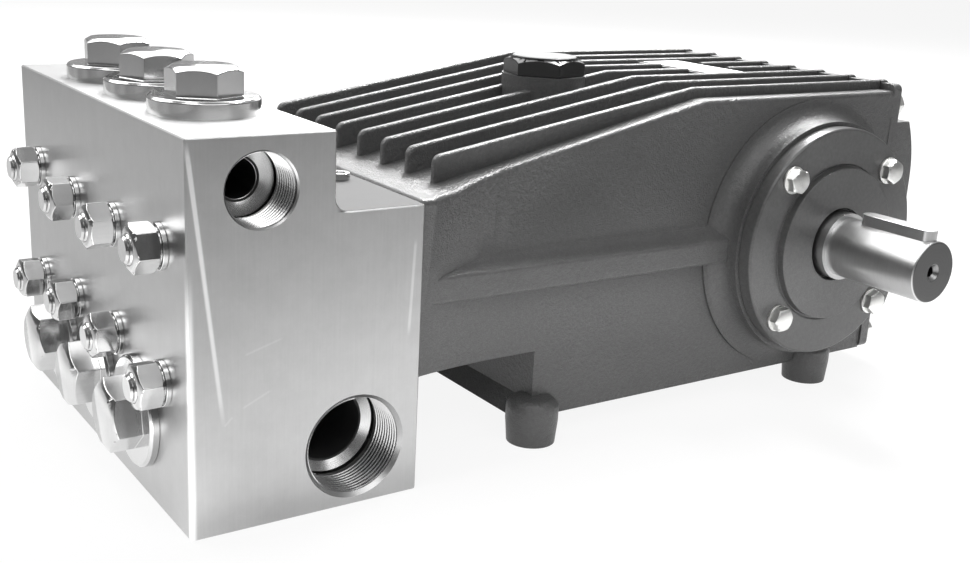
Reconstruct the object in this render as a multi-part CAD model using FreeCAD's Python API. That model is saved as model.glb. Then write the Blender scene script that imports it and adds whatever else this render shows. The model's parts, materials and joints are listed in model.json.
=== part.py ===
import FreeCAD, Part
import math
import os

from FreeCAD import Vector

# Plunger pump with three plungers: a drilled stainless manifold block bolted to the front
# of a finned cast crankcase, with a crankshaft end on each side.
# Millimetres. X runs to the right-hand shaft end, Y from the manifold to the rear cover and Z up.
# The origin is on the floor, midway between the four feet.

# Feet and main centres
foot_spacing_y = 216.0
foot_radius = 13.3
foot_draft = 1.1
foot_height = 12.5
foot_top_height = 25.0
foot_edge_radius = 6.0
foot_hole_radius = 6.0
foot_hole_depth = 20.0
crank_offset_y = 89.0
crank_height = 96.5
plunger_pitch = 61.3

# Manifold block
block_front_to_crank = 399.0
block_width = 250.0
block_height = 180.0
block_upper_depth = 69.0
block_depth = 115.0
shoulder_height = 143.5
notch_radius = 6.5
block_edge_chamfer = 0.7

# Ports: a threaded mouth, a relief groove and the gallery behind it
discharge_port_inset = 34.0
discharge_port_height = 156.0
discharge_thread_radius = 16.6
discharge_thread_length = 22.0
discharge_gallery_radius = 9.5
inlet_port_inset = 81.0
inlet_port_height = 29.5
inlet_thread_radius = 23.9
inlet_thread_length = 25.0
inlet_gallery_radius = 18.0
relief_depth = 1.4
relief_width = 5.0
discharge_mouth_chamfer = 0.8
inlet_mouth_chamfer = 1.9

# Hexagon heads: a crown turned at the far end, as a share of the flats and as an angle
crown_share = 0.86
crown_angle = 30.0

# Valve plugs
discharge_plug_flange_radius = 25.8
discharge_plug_flange_height = 8.0
suction_plug_flange_radius = 27.0
suction_plug_flange_height = 4.5
suction_plug_height = 40.0
plug_hex_across_flats = 31.5
discharge_plug_hex_height = 13.5
suction_plug_hex_height = 14.0
plug_flange_chamfer = 1.2
plug_shank_radius = 18.0
discharge_plug_shank_length = 9.0
suction_plug_shank_length = 18.0
discharge_hex_turns = (-12.0, 20.0, -3.0)
suction_hex_turns = (50.0, 20.0, 41.0)

# Manifold studs and their flanged nuts
stud_pitch = 63.0
outer_stud_rise = 31.5
inner_stud_rise = 27.0
stud_radius = 7.0
stud_hole_clearance = 0.5
stud_depth_in_case = 28.0
stud_end_proud = 0.8
stud_end_chamfer = 0.6
nut_across_flats = 20.0
nut_height = 14.5
nut_flange_radius = 10.8
nut_flange_height = 2.4
nut_turns = {
    "upper": (23.0, -8.0, 24.0, -13.0),
    "lower": (8.0, 8.0, 31.0, 13.0),
}

# Bleed screws on the shoulder, one over each plunger
bleed_screw_radius = 5.0
bleed_screw_height = 3.5
bleed_screw_length = 12.0
bleed_screw_shank_radius = 3.0
bleed_screw_inset = 11.0

# Crankcase casting
case_half_width = 103.0
case_wall_taper = 1.5
flange_top_flare = 19.0
flange_base_flare = 6.5
flange_thickness = 8.0
flare_length = 60.0
case_underside_height = 51.0
sump_front_offset = 1.0
sump_toe_run = 8.0
sump_toe_rise = 9.5
case_rear_offset = 69.0
roof_front_height = 144.5
roof_front_run = 25.0
roof_slope_run = 169.5
roof_top_height = 181.0
roof_edge_radius = 2.8
flange_edge_radius = 2.0

# Cooling fins
fin_count = 8
fin_pitch = 25.6
fin_thickness = 4.6
fin_front_height = 13.5
fin_rise = 5.6
fin_front_radius = 5.0
fin_edge_radius = 1.7
fin_root_depth = 5.0
fin_rear_chamfer = 1.5

# Side rib and bearing bosses
rib_rise = 9.0
rib_below_crank = 7.5
rib_above_crank = 5.5
rib_upper_fillet_run = 13.0
rib_upper_fillet_sag = 1.8
rib_lower_fillet_run = 4.0
rib_edge_radius = 2.5
boss_radius = 71.0
boss_rise = 15.0
boss_root_radius = 82.0
boss_root_step = 0.4
bearing_bore_radius = 45.0
bearing_width = 24.0
shaft_clearance = 6.0

# Bolts of the bearing covers and the rear cover, with their washers
bolt_radius = 4.0
bolt_across_flats = 13.0
bolt_head_height = 5.5
bolt_washer_radius = 8.0
bolt_washer_height = 1.6
bolt_head_turn_step = 17.0

# Bearing covers
cover_radius = 68.5
cover_thickness = 9.0
cover_edge_chamfer = 1.0
cover_hub_radius = 45.8
cover_hub_groove_width = 1.4
cover_hub_groove_depth = 0.8
cover_hub_rise = 4.0
cover_bolt_circle_radius = 58.0
cover_bolt_depth = 18.0
cover_bolt_turn = 45.0
seal_outer_radius = 27.0
seal_mouth_radius = 21.8
seal_recess = 4.0
running_clearance = 0.05

# Crankshaft and keys
shaft_core_radius = 22.0
journal_radius = 20.0
shaft_end_radius = 17.5
shaft_end_half_width = 198.0
journal_half_width = 137.0
shaft_end_chamfer = 0.8
centre_hole_radius = 5.0
centre_hole_depth = 22.0
key_width = 10.0
key_rise = 5.5
key_depth = 5.0
key_length = 48.5
key_end_gap = 2.0

# Rear cover
rear_cover_thickness = 7.0
rear_cover_rise = 4.0
rear_cover_corner_radius = 4.0
rear_dome_margin = 8.0
rear_dome_end_margin = 21.45
rear_dome_depth = 24.0
rear_dome_bulge = 8.5
rear_dome_flat_half_height = 25.5
rear_dome_edge_radius = 2.5
rear_bolt_side_inset = 8.5
rear_bolt_inset = 9.5
rear_bolt_depth = 14.0
rear_bolts_across = 4
level_glass_radius = 13.0
level_glass_rim = 4.0
level_glass_depth = 5.0
level_glass_seat_depth = 1.5
level_glass_rim_height = 5.0
level_glass_rise = 1.0

# Oil filler and nameplate
filler_offset = 127.0
filler_boss_radius = 25.0
filler_boss_rise = 3.0
filler_cap_across_flats = 42.8
filler_cap_hex_height = 10.3
filler_cap_crown_share = 0.9
filler_cap_disc_radius = 19.0
filler_cap_disc_rise = 0.7
filler_cap_turn = 45.5
filler_neck_radius = 14.0
filler_neck_depth = 16.0
plate_length = 64.0
plate_width = 30.0
plate_thickness = 0.8
plate_offset = 5.0
plate_pad_margin = 3.0
plate_pad_rise = 3.8

# Places worked out from the sizes above
x_axis = Vector(1, 0, 0)
y_axis = Vector(0, 1, 0)
z_axis = Vector(0, 0, 1)
case_base_half_width = case_half_width - case_wall_taper
flange_top_half_width = case_half_width + flange_top_flare
flange_base_half_width = case_base_half_width + flange_base_flare
rib_half_width = case_half_width + rib_rise
boss_half_width = case_half_width + boss_rise
boss_root_half_width = case_half_width + boss_root_step
rear_dome_half_width = case_half_width - rear_dome_margin
rear_middle_height = (foot_height + roof_top_height) / 2
rear_dome_half_height = rear_middle_height - foot_height - rear_dome_end_margin
fin_top_height = roof_top_height + fin_rise
filler_boss_height = roof_top_height + filler_boss_rise
plate_pad_height = roof_top_height + plate_pad_rise
foot_top_radius = foot_radius + foot_draft
block_front_y = crank_offset_y - block_front_to_crank
flange_face_y = block_front_y + block_depth
foot_y = foot_spacing_y / 2
sump_front_y = -foot_y - sump_front_offset
case_rear_y = crank_offset_y + case_rear_offset
rear_face_y = case_rear_y + rear_cover_thickness
dome_edge_y = rear_face_y + rear_dome_depth
dome_crown_y = dome_edge_y + rear_dome_bulge
glass_seat_y = dome_crown_y - level_glass_seat_depth
roof_front_y = flange_face_y + roof_front_run
roof_top_y = roof_front_y + roof_slope_run
cover_face = boss_half_width + cover_thickness
reach = 2 * block_front_to_crank


def side_sign(side):
    return 1 if side == "right" else -1


def round_bar(start, direction, radius, length):
    return Part.makeCylinder(radius, length, start, direction)


def cross_bar(x_start, x_end, y, z, radius):
    low, high = sorted((x_start, x_end))
    return round_bar(Vector(low, y, z), x_axis, radius, high - low)


def box_between(low, high):
    size = Vector(*high).sub(Vector(*low))
    return Part.makeBox(size.x, size.y, size.z, Vector(*low))


def flat_face(points):
    return Part.Face(Part.makePolygon([Vector(*p) for p in points + points[:1]]))


def prism(points, direction):
    return flat_face(points).extrude(direction)


def hexagon_bar(centre, direction, across_flats, height, turn=0.0, both_ends=False,
                share=crown_share):
    """Hexagonal bar with its corners turned off at the far end, or at both ends."""
    corner = across_flats / math.sqrt(3)
    points = []
    for i in range(6):
        angle = math.radians(60 * i + turn)
        points.append((corner * math.cos(angle), corner * math.sin(angle), 0))
    bar = prism(points, Vector(0, 0, height))
    crown_radius = share * across_flats / 2
    crown_height = (corner - crown_radius) * math.tan(math.radians(crown_angle))
    low_radius = crown_radius if both_ends else corner
    profile = [
        (0, 0, 0),
        (low_radius, 0, 0),
        (corner, 0, crown_height),
        (corner, 0, height - crown_height),
        (crown_radius, 0, height),
        (0, 0, height),
    ]
    turned = flat_face(profile).revolve(Vector(0, 0, 0), z_axis, 360)
    bar = bar.common(turned)
    bar.Placement = FreeCAD.Placement(centre, FreeCAD.Rotation(z_axis, direction))
    return bar


def stud_places():
    """The eight studs: two rows of four, the outer ones further from the plunger axis."""
    places = {}
    for row, sign in (("upper", 1), ("lower", -1)):
        for i in range(4):
            x = (i - 1.5) * stud_pitch
            rise = outer_stud_rise if i in (0, 3) else inner_stud_rise
            places[f"{row}_{i + 1}"] = (x, crank_height + sign * rise)
    return places


def plunger_x():
    return [(i - 1) * plunger_pitch for i in range(3)]


def port_cut(side, inset, height, thread_radius, thread_length, mouth_chamfer):
    """Threaded mouth with a chamfer and a relief groove, cut in from a side face."""
    sign = side_sign(side)
    face = sign * block_width / 2
    y = block_front_y + inset
    mouth = cross_bar(face, face - sign * thread_length, y, height, thread_radius)
    bottom = face - sign * thread_length
    groove = cross_bar(bottom, bottom - sign * relief_width, y, height, thread_radius + relief_depth)
    chamfer = Part.makeCone(thread_radius + mouth_chamfer, thread_radius, mouth_chamfer,
                            Vector(face, y, height), Vector(-sign, 0, 0))
    return mouth.fuse([groove, chamfer])


def make_manifold_block():
    outline = [
        (-block_width / 2, block_front_y, 0),
        (-block_width / 2, flange_face_y, 0),
        (-block_width / 2, flange_face_y, shoulder_height),
        (-block_width / 2, block_front_y + block_upper_depth, shoulder_height),
        (-block_width / 2, block_front_y + block_upper_depth, block_height),
        (-block_width / 2, block_front_y, block_height),
    ]
    block = prism(outline, Vector(block_width, 0, 0))
    notch_edges = [e for e in block.Edges if is_notch_corner(e)]
    block = block.makeFillet(notch_radius, notch_edges)
    edges = [e for e in block.Edges if e.Length > notch_radius * 2]
    block = block.makeChamfer(block_edge_chamfer, edges)
    cuts = []
    for side in ("right", "left"):
        cuts.append(port_cut(side, discharge_port_inset, discharge_port_height,
                             discharge_thread_radius, discharge_thread_length,
                             discharge_mouth_chamfer))
        cuts.append(port_cut(side, inlet_port_inset, inlet_port_height,
                             inlet_thread_radius, inlet_thread_length, inlet_mouth_chamfer))
    half = block_width / 2
    cuts.append(cross_bar(-half, half, block_front_y + discharge_port_inset,
                          discharge_port_height, discharge_gallery_radius))
    cuts.append(cross_bar(-half, half, block_front_y + inlet_port_inset,
                          inlet_port_height, inlet_gallery_radius))
    for x, z in stud_places().values():
        cuts.append(round_bar(Vector(x, block_front_y, z), y_axis,
                              stud_radius + stud_hole_clearance, block_depth))
    for x in plunger_x():
        y = block_front_y + discharge_port_inset
        cuts.append(round_bar(Vector(x, y, block_height), -z_axis,
                              plug_shank_radius, discharge_plug_shank_length))
        cuts.append(round_bar(Vector(x, block_front_y, suction_plug_height), y_axis,
                              plug_shank_radius, suction_plug_shank_length))
        cuts.append(round_bar(Vector(x, flange_face_y - bleed_screw_inset, shoulder_height),
                              -z_axis, bleed_screw_shank_radius, bleed_screw_length))
    return block.cut(cuts)


def is_notch_corner(edge):
    centre = edge.BoundBox.Center
    inner_y = block_front_y + block_upper_depth
    return abs(centre.y - inner_y) < 0.01 and abs(centre.z - shoulder_height) < 0.01


def make_valve_plug(centre, direction, flange_radius, flange_height, hex_height, shank_length, turn):
    """Hexagon over a round flange, with its shank in the block."""
    flange = round_bar(centre, direction, flange_radius, flange_height)
    rim = [e for e in flange.Edges if circle_at(e, centre + direction * flange_height)]
    flange = flange.makeChamfer(plug_flange_chamfer, rim)
    hexagon = hexagon_bar(centre + direction * flange_height, direction,
                          plug_hex_across_flats, hex_height, turn)
    shank = round_bar(centre, -direction, plug_shank_radius, shank_length)
    return flange.fuse([hexagon, shank])


def circle_at(edge, centre):
    is_round = edge.Closed and hasattr(edge.Curve, "Center")
    return is_round and edge.Curve.Center.distanceToPoint(centre) < 0.01


def make_discharge_plug(x, turn):
    centre = Vector(x, block_front_y + discharge_port_inset, block_height)
    return make_valve_plug(centre, z_axis, discharge_plug_flange_radius,
                           discharge_plug_flange_height, discharge_plug_hex_height,
                           discharge_plug_shank_length, turn)


def make_suction_plug(x, turn):
    centre = Vector(x, block_front_y, suction_plug_height)
    return make_valve_plug(centre, -y_axis, suction_plug_flange_radius,
                           suction_plug_flange_height, suction_plug_hex_height,
                           suction_plug_shank_length, turn)


def make_stud_nut(x, z, turn):
    """Hexagon nut, chamfered at both ends, on its round flange."""
    face = Vector(x, block_front_y, z)
    flange = round_bar(face, -y_axis, nut_flange_radius, nut_flange_height)
    hexagon = hexagon_bar(face - y_axis * nut_flange_height, -y_axis, nut_across_flats,
                          nut_height - nut_flange_height, turn, both_ends=True)
    nut = flange.fuse(hexagon)
    return nut.cut(round_bar(face, -y_axis, stud_radius, nut_height))


def make_studs(row):
    """Four studs of one row, from their rounded ends to the threads in the crankcase."""
    studs = []
    for name, (x, z) in stud_places().items():
        if not name.startswith(row):
            continue
        start = Vector(x, block_front_y - nut_height - stud_end_proud, z)
        plain = nut_height + block_depth + stud_depth_in_case
        end_cone = Part.makeCone(stud_radius - stud_end_chamfer, stud_radius,
                                 stud_end_proud, start, y_axis)
        body = round_bar(start + y_axis * stud_end_proud, y_axis, stud_radius, plain)
        studs.append(end_cone.fuse(body).removeSplitter())
    return Part.Compound(studs)


def make_bleed_screws():
    screws = []
    for x in plunger_x():
        seat = Vector(x, flange_face_y - bleed_screw_inset, shoulder_height)
        head = round_bar(seat, z_axis, bleed_screw_radius, bleed_screw_height)
        socket = hexagon_bar(seat + z_axis * bleed_screw_height / 2, z_axis,
                             bleed_screw_radius, bleed_screw_height)
        shank = round_bar(seat, -z_axis, bleed_screw_shank_radius, bleed_screw_length)
        screws.append(head.cut(socket).fuse(shank))
    return Part.Compound(screws)


def plan_outline(z):
    """Outline of the crankcase in plan at one height, flaring out to the front flange."""
    top_share = (z - case_underside_height) / (roof_front_height - case_underside_height)
    flange = flange_base_half_width + (flange_top_half_width - flange_base_half_width) * top_share
    wall = case_base_half_width + (case_half_width - case_base_half_width) * z / roof_top_height
    flare_start = flange_face_y + flange_thickness
    flare_end = flare_start + flare_length
    flare = flange - wall
    radius = (flare_length ** 2 + flare ** 2) / (2 * flare)
    middle_angle = math.asin(flare_length / radius) / 2
    middle_x = wall + radius * (1 - math.cos(middle_angle))
    middle_y = flare_end - radius * math.sin(middle_angle)

    def side_edges(sign):
        corner = Vector(sign * flange, flange_face_y, z)
        start = Vector(sign * flange, flare_start, z)
        end = Vector(sign * wall, flare_end, z)
        rear = Vector(sign * wall, case_rear_y, z)
        flare_arc = Part.Arc(start, Vector(sign * middle_x, middle_y, z), end).toShape()
        return [Part.makeLine(corner, start), flare_arc, Part.makeLine(end, rear)], corner, rear

    right, front_right, rear_right = side_edges(1)
    left, front_left, rear_left = side_edges(-1)
    left.reverse()
    return Part.Wire(right + [Part.makeLine(rear_right, rear_left)] + left
                     + [Part.makeLine(front_left, front_right)])


def make_case_body():
    """Walls and roof of the casting, without fins, bosses and feet."""
    walls = Part.makeLoft([plan_outline(0.0), plan_outline(fin_top_height)], True, True)
    profile = [
        (-reach, flange_face_y, case_underside_height),
        (-reach, flange_face_y, roof_front_height),
        (-reach, roof_front_y, roof_front_height),
        (-reach, roof_top_y, roof_top_height),
        (-reach, case_rear_y, roof_top_height),
        (-reach, case_rear_y, foot_height),
        (-reach, sump_front_y - sump_toe_run, foot_height),
        (-reach, sump_front_y, foot_height + sump_toe_rise),
        (-reach, sump_front_y, case_underside_height),
    ]
    body = walls.common(prism(profile, Vector(2 * reach, 0, 0)))
    body = body.makeFillet(roof_edge_radius, [e for e in body.Edges if is_roof_edge(e)])
    return body.makeFillet(flange_edge_radius, [e for e in body.Edges if is_flange_edge(e)])


def is_roof_edge(edge):
    """Whether an edge runs along the side of the roof."""
    box = edge.BoundBox
    outside = min(abs(box.XMin), abs(box.XMax)) > case_half_width - case_wall_taper
    return outside and box.ZMin > roof_front_height - 0.01 and box.YLength > 1


def is_flange_edge(edge):
    """Whether an edge bounds the top or a side of the front flange's face."""
    box = edge.BoundBox
    on_face = box.YMax < flange_face_y + 0.01
    at_top = box.ZMin > roof_front_height - roof_edge_radius - 1
    at_side = box.ZLength > (roof_front_height - case_underside_height) / 2
    return on_face and (at_top or at_side)


def fin_sides():
    """Where the left-hand side of each fin is."""
    first = -(fin_count - 1) / 2 * fin_pitch - fin_thickness / 2
    return [first + i * fin_pitch for i in range(fin_count)]


def make_fins():
    """Cooling fins with rounded fronts and tops, following the roof to the rear."""
    fins = []
    front_top = roof_front_height + fin_front_height
    root_drop = roof_front_height - fin_root_depth
    for low in fin_sides():
        profile = [
            (low, roof_front_y, root_drop),
            (low, roof_front_y, front_top),
            (low, roof_top_y, fin_top_height),
            (low, case_rear_y, fin_top_height),
            (low, case_rear_y, roof_top_height - fin_root_depth),
            (low, roof_top_y, roof_top_height - fin_root_depth),
        ]
        fin = prism(profile, Vector(fin_thickness, 0, 0))
        nose = [e for e in fin.Edges if is_fin_nose(e, front_top)]
        fin = fin.makeFillet(fin_front_radius, nose)
        rounded = [e for e in fin.Edges if is_fin_top(e)]
        fins.append(fin.makeFillet(fin_edge_radius, rounded))
    return fins


def is_fin_nose(edge, front_top):
    centre = edge.BoundBox.Center
    return abs(centre.y - roof_front_y) < 0.01 and abs(centre.z - front_top) < 0.01


def is_fin_top(edge):
    """Whether an edge bounds the front, nose or top of a fin on either side."""
    box = edge.BoundBox
    in_side_face = box.XLength < 0.01
    front = box.YMax < roof_front_y + fin_front_radius + 0.01 and box.ZMax > roof_front_height
    top = box.ZMin > roof_front_height and box.YMax > roof_top_y - 1
    return in_side_face and (front or top) and box.ZMax > roof_front_height + 1


def make_side_rib(side):
    """Rib at crank height, hollowed above, running from the front flange into the bearing boss."""
    sign = side_sign(side)
    root = case_base_half_width
    upper = crank_height + rib_above_crank
    lower = crank_height - rib_below_crank

    def point(x, z):
        return Vector(sign * x, flange_face_y, z)

    wall_top = point(root, upper + rib_upper_fillet_run)
    hollow = point((root + rib_half_width) / 2 - rib_upper_fillet_sag,
                   upper + rib_upper_fillet_run / 2 - rib_upper_fillet_sag)
    face_top = point(rib_half_width, upper)
    face_bottom = point(rib_half_width, lower)
    wall_bottom = point(root, lower - rib_lower_fillet_run)
    edges = [
        Part.Arc(wall_top, hollow, face_top).toShape(),
        Part.makeLine(face_top, face_bottom),
        Part.makeLine(face_bottom, wall_bottom),
        Part.makeLine(wall_bottom, wall_top),
    ]
    length = block_front_to_crank - block_depth
    rib = Part.Face(Part.Wire(edges)).extrude(y_axis * length)
    outer = [e for e in rib.Edges if e.BoundBox.YLength > length / 2
             and abs(abs(e.BoundBox.Center.x) - rib_half_width) < 0.01]
    return rib.makeFillet(rib_edge_radius, outer)


def make_bearing_boss(side):
    """Round boss that carries a bearing cover, with a hollow fillet down to a low step."""
    sign = side_sign(side)
    fillet = boss_root_radius - boss_radius
    sag = fillet * (1 - math.sqrt(0.5))

    def point(x, radius):
        return Vector(sign * x, crank_offset_y, crank_height + radius)

    inner_axis = point(case_half_width / 2, 0)
    inner_edge = point(case_half_width / 2, boss_root_radius)
    step_edge = point(boss_root_half_width, boss_root_radius)
    hollow = point(boss_root_half_width + sag, boss_radius + sag)
    fillet_end = point(boss_root_half_width + fillet, boss_radius)
    outer_edge = point(boss_half_width, boss_radius)
    outer_axis = point(boss_half_width, 0)
    edges = [
        Part.makeLine(inner_axis, inner_edge),
        Part.makeLine(inner_edge, step_edge),
        Part.Arc(step_edge, hollow, fillet_end).toShape(),
        Part.makeLine(fillet_end, outer_edge),
        Part.makeLine(outer_edge, outer_axis),
        Part.makeLine(outer_axis, inner_axis),
    ]
    boss = Part.Face(Part.Wire(edges)).revolve(inner_axis, x_axis, 360)
    keep = box_between((-reach, -reach, foot_height), (reach, case_rear_y, roof_top_height))
    return boss.common(keep)


def make_foot(x, y):
    """Round cast foot that runs a little way up the side wall to a rounded shoulder."""
    post = Part.makeCone(foot_radius, foot_top_radius, foot_height, Vector(x, y, 0), z_axis)
    upper = round_bar(Vector(x, y, foot_height), z_axis, foot_top_radius,
                      foot_top_height - foot_height)
    shoulder = [e for e in upper.Edges if circle_at(e, Vector(x, y, foot_top_height))]
    return post.fuse(upper.makeFillet(foot_edge_radius, shoulder))


def foot_places():
    return [(sx * case_base_half_width, sy * foot_y) for sx in (-1, 1) for sy in (-1, 1)]


def cover_bolt_places(side):
    """Centres of the four bolts of a bearing cover, on its outer face."""
    places = []
    for i in range(4):
        angle = math.radians(cover_bolt_turn + 90 * i)
        y = crank_offset_y + cover_bolt_circle_radius * math.cos(angle)
        z = crank_height + cover_bolt_circle_radius * math.sin(angle)
        places.append(Vector(side_sign(side) * cover_face, y, z))
    return places


def rear_bolt_places():
    """Bolt centres along the top and bottom of the rear cover, on its outer face."""
    half_x = case_half_width - rear_bolt_side_inset
    low = foot_height + rear_bolt_inset
    high = roof_top_height - rear_bolt_inset
    places = []
    for i in range(rear_bolts_across):
        x = -half_x + 2 * half_x * i / (rear_bolts_across - 1)
        places += [Vector(x, rear_face_y, low), Vector(x, rear_face_y, high)]
    return places


def plate_pad_box():
    centre_y = crank_offset_y - plate_offset
    half_x = plate_length / 2 + plate_pad_margin
    half_y = plate_width / 2 + plate_pad_margin
    return box_between((-half_x, centre_y - half_y, roof_top_height - fin_front_radius),
                       (half_x, centre_y + half_y, plate_pad_height))


def make_crankcase():
    filler = Vector(0, crank_offset_y - filler_offset, 0)
    case = make_case_body().fuse(make_fins())
    for side in ("right", "left"):
        case = case.fuse([make_side_rib(side), make_bearing_boss(side)])
    for x, y in foot_places():
        case = case.fuse(make_foot(x, y))
    pad = plate_pad_box()
    above_pad = box_between((pad.BoundBox.XMin, pad.BoundBox.YMin, plate_pad_height),
                            (pad.BoundBox.XMax, pad.BoundBox.YMax, fin_top_height + 1))
    case = case.fuse(pad).cut(above_pad)
    boss_foot = crank_height + journal_radius
    boss_bottom = filler + z_axis * boss_foot
    above_boss = round_bar(filler + z_axis * filler_boss_height, z_axis,
                           filler_boss_radius, reach)
    case = case.fuse(round_bar(boss_bottom, z_axis, filler_boss_radius,
                               filler_boss_height - boss_foot)).cut(above_boss)
    cuts = [round_bar(filler + z_axis * filler_boss_height, -z_axis,
                      filler_neck_radius, filler_neck_depth)]
    cuts.append(cross_bar(-boss_half_width, boss_half_width, crank_offset_y, crank_height,
                          shaft_core_radius + shaft_clearance))
    for side in ("right", "left"):
        sign = side_sign(side)
        inner = boss_half_width - bearing_width
        cuts.append(cross_bar(sign * inner, sign * boss_half_width, crank_offset_y,
                              crank_height, bearing_bore_radius))
        for place in cover_bolt_places(side):
            start = Vector(sign * boss_half_width, place.y, place.z)
            cuts.append(round_bar(start, -x_axis * sign, bolt_radius, cover_bolt_depth))
    for x, z in stud_places().values():
        cuts.append(round_bar(Vector(x, flange_face_y, z), y_axis, stud_radius, stud_depth_in_case))
    for place in rear_bolt_places():
        start = Vector(place.x, case_rear_y, place.z)
        cuts.append(round_bar(start, -y_axis, bolt_radius, rear_bolt_depth))
    for x, y in foot_places():
        cuts.append(round_bar(Vector(x, y, 0), z_axis, foot_hole_radius, foot_hole_depth))
    return case.cut(cuts).removeSplitter()


def make_main_bearing(side):
    sign = side_sign(side)
    inner = boss_half_width - bearing_width
    ring = cross_bar(sign * inner, sign * boss_half_width, crank_offset_y, crank_height,
                     bearing_bore_radius)
    bore = cross_bar(sign * inner, sign * boss_half_width, crank_offset_y, crank_height,
                     shaft_core_radius + running_clearance)
    return ring.cut(bore)


def make_bearing_cover(side):
    """Turned disc with a raised hub, a groove round it and a bore that hides the seal."""
    sign = side_sign(side)
    y, z = crank_offset_y, crank_height
    disc = cross_bar(sign * boss_half_width, sign * cover_face, y, z, cover_radius)
    rim = [e for e in disc.Edges if circle_at(e, Vector(sign * cover_face, y, z))]
    disc = disc.makeChamfer(cover_edge_chamfer, rim)
    groove_bottom = cover_face - cover_hub_groove_depth
    groove = cross_bar(sign * groove_bottom, sign * cover_face, y, z,
                       cover_hub_radius + cover_hub_groove_width)
    hub = cross_bar(sign * groove_bottom, sign * (cover_face + cover_hub_rise), y, z, cover_hub_radius)
    cuts = [cross_bar(0, sign * reach, y, z, seal_mouth_radius),
            cross_bar(0, sign * (cover_face + cover_hub_rise - seal_recess), y, z,
                      seal_outer_radius)]
    for place in cover_bolt_places(side):
        cuts.append(round_bar(place, -x_axis * sign, bolt_radius, cover_thickness))
    return disc.cut(groove).fuse(hub).cut(cuts)


def make_shaft_seal(side):
    sign = side_sign(side)
    outer = cover_face + cover_hub_rise - seal_recess
    y, z = crank_offset_y, crank_height
    ring = cross_bar(sign * boss_half_width, sign * outer, y, z, seal_outer_radius)
    return ring.cut(cross_bar(0, sign * reach, y, z, journal_radius + running_clearance))


def make_bolt(place, direction, depth, turn):
    """Hexagon-head bolt on its washer."""
    shank = round_bar(place, -direction, bolt_radius, depth)
    washer = round_bar(place, direction, bolt_washer_radius, bolt_washer_height)
    head = hexagon_bar(place + direction * bolt_washer_height, direction,
                       bolt_across_flats, bolt_head_height, turn)
    return head.fuse([shank, washer])


def make_cover_bolts(side):
    bolts = []
    for i, place in enumerate(cover_bolt_places(side)):
        bolts.append(make_bolt(place, x_axis * side_sign(side), cover_thickness + cover_bolt_depth,
                               bolt_head_turn_step * i))
    return Part.Compound(bolts)


def key_seat(side):
    """Lowest corner and size of a key: x start, length and height above the shaft axis."""
    start = shaft_end_half_width - key_end_gap - key_length
    return side_sign(side), start, shaft_end_radius - key_depth


def make_key(side):
    """Round-ended key standing in its slot on top of the shaft end."""
    sign, start, seat = key_seat(side)
    half = key_width / 2
    z = crank_height + seat
    height = key_depth + key_rise
    inner = Vector(sign * (start + half), crank_offset_y, z)
    outer = Vector(sign * (start + key_length - half), crank_offset_y, z)
    low_x, high_x = sorted((inner.x, outer.x))
    middle = box_between((low_x, crank_offset_y - half, z), (high_x, crank_offset_y + half, z + height))
    ends = [round_bar(end, z_axis, half, height) for end in (inner, outer)]
    return middle.fuse(ends).removeSplitter()


def make_crankshaft():
    """Shaft end with its seal journal on each side of the core that runs in the bearings."""
    y, z = crank_offset_y, crank_height
    parts = [cross_bar(-boss_half_width, boss_half_width, y, z, shaft_core_radius)]
    cuts = []
    for side in ("right", "left"):
        sign = side_sign(side)
        parts.append(cross_bar(0, sign * journal_half_width, y, z, journal_radius))
        end = cross_bar(0, sign * shaft_end_half_width, y, z, shaft_end_radius)
        face = Vector(sign * shaft_end_half_width, y, z)
        rim = [e for e in end.Edges if circle_at(e, face)]
        parts.append(end.makeChamfer(shaft_end_chamfer, rim))
        cuts.append(round_bar(face, -x_axis * sign, centre_hole_radius, centre_hole_depth))
        cuts.append(make_key(side))
    return parts[0].fuse(parts[1:]).cut(cuts).removeSplitter()


def make_rear_cover():
    """Cover plate with a raised middle whose back is gently rounded, and the level glass seat."""
    low = (-case_half_width, case_rear_y, foot_height)
    high = (case_half_width, rear_face_y, roof_top_height + rear_cover_rise)
    plate = box_between(low, high)
    corners = [e for e in plate.Edges if abs(e.tangentAt(e.FirstParameter).y) > 0.99]
    plate = plate.makeFillet(rear_cover_corner_radius, corners)
    glass_centre = Vector(0, glass_seat_y, rear_middle_height)
    cuts = [round_bar(glass_centre, -y_axis, level_glass_radius, level_glass_depth),
            round_bar(glass_centre, y_axis, level_glass_radius + level_glass_rim,
                      level_glass_seat_depth)]
    for place in rear_bolt_places():
        cuts.append(round_bar(place, -y_axis, bolt_radius, rear_cover_thickness))
    parts = [make_rear_dome()] + make_fin_ends()
    return plate.fuse(parts).cut(cuts).removeSplitter()


def make_fin_ends():
    """Short ridges that carry the fins on over the top of the rear cover."""
    ends = []
    top = roof_top_height + rear_cover_rise
    for low in fin_sides():
        profile = [
            (low, case_rear_y, top - fin_edge_radius),
            (low, case_rear_y, fin_top_height),
            (low, rear_face_y - fin_rear_chamfer, fin_top_height),
            (low, rear_face_y, fin_top_height - fin_rear_chamfer),
            (low, rear_face_y, top - fin_edge_radius),
        ]
        end = prism(profile, Vector(fin_thickness, 0, 0))
        rounded = [e for e in end.Edges if is_fin_end_top(e)]
        ends.append(end.makeFillet(fin_edge_radius, rounded))
    return ends


def is_fin_end_top(edge):
    """Whether an edge bounds the top of a ridge on either side."""
    box = edge.BoundBox
    return box.XLength < 0.01 and box.ZMin > fin_top_height - 0.01


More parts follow.
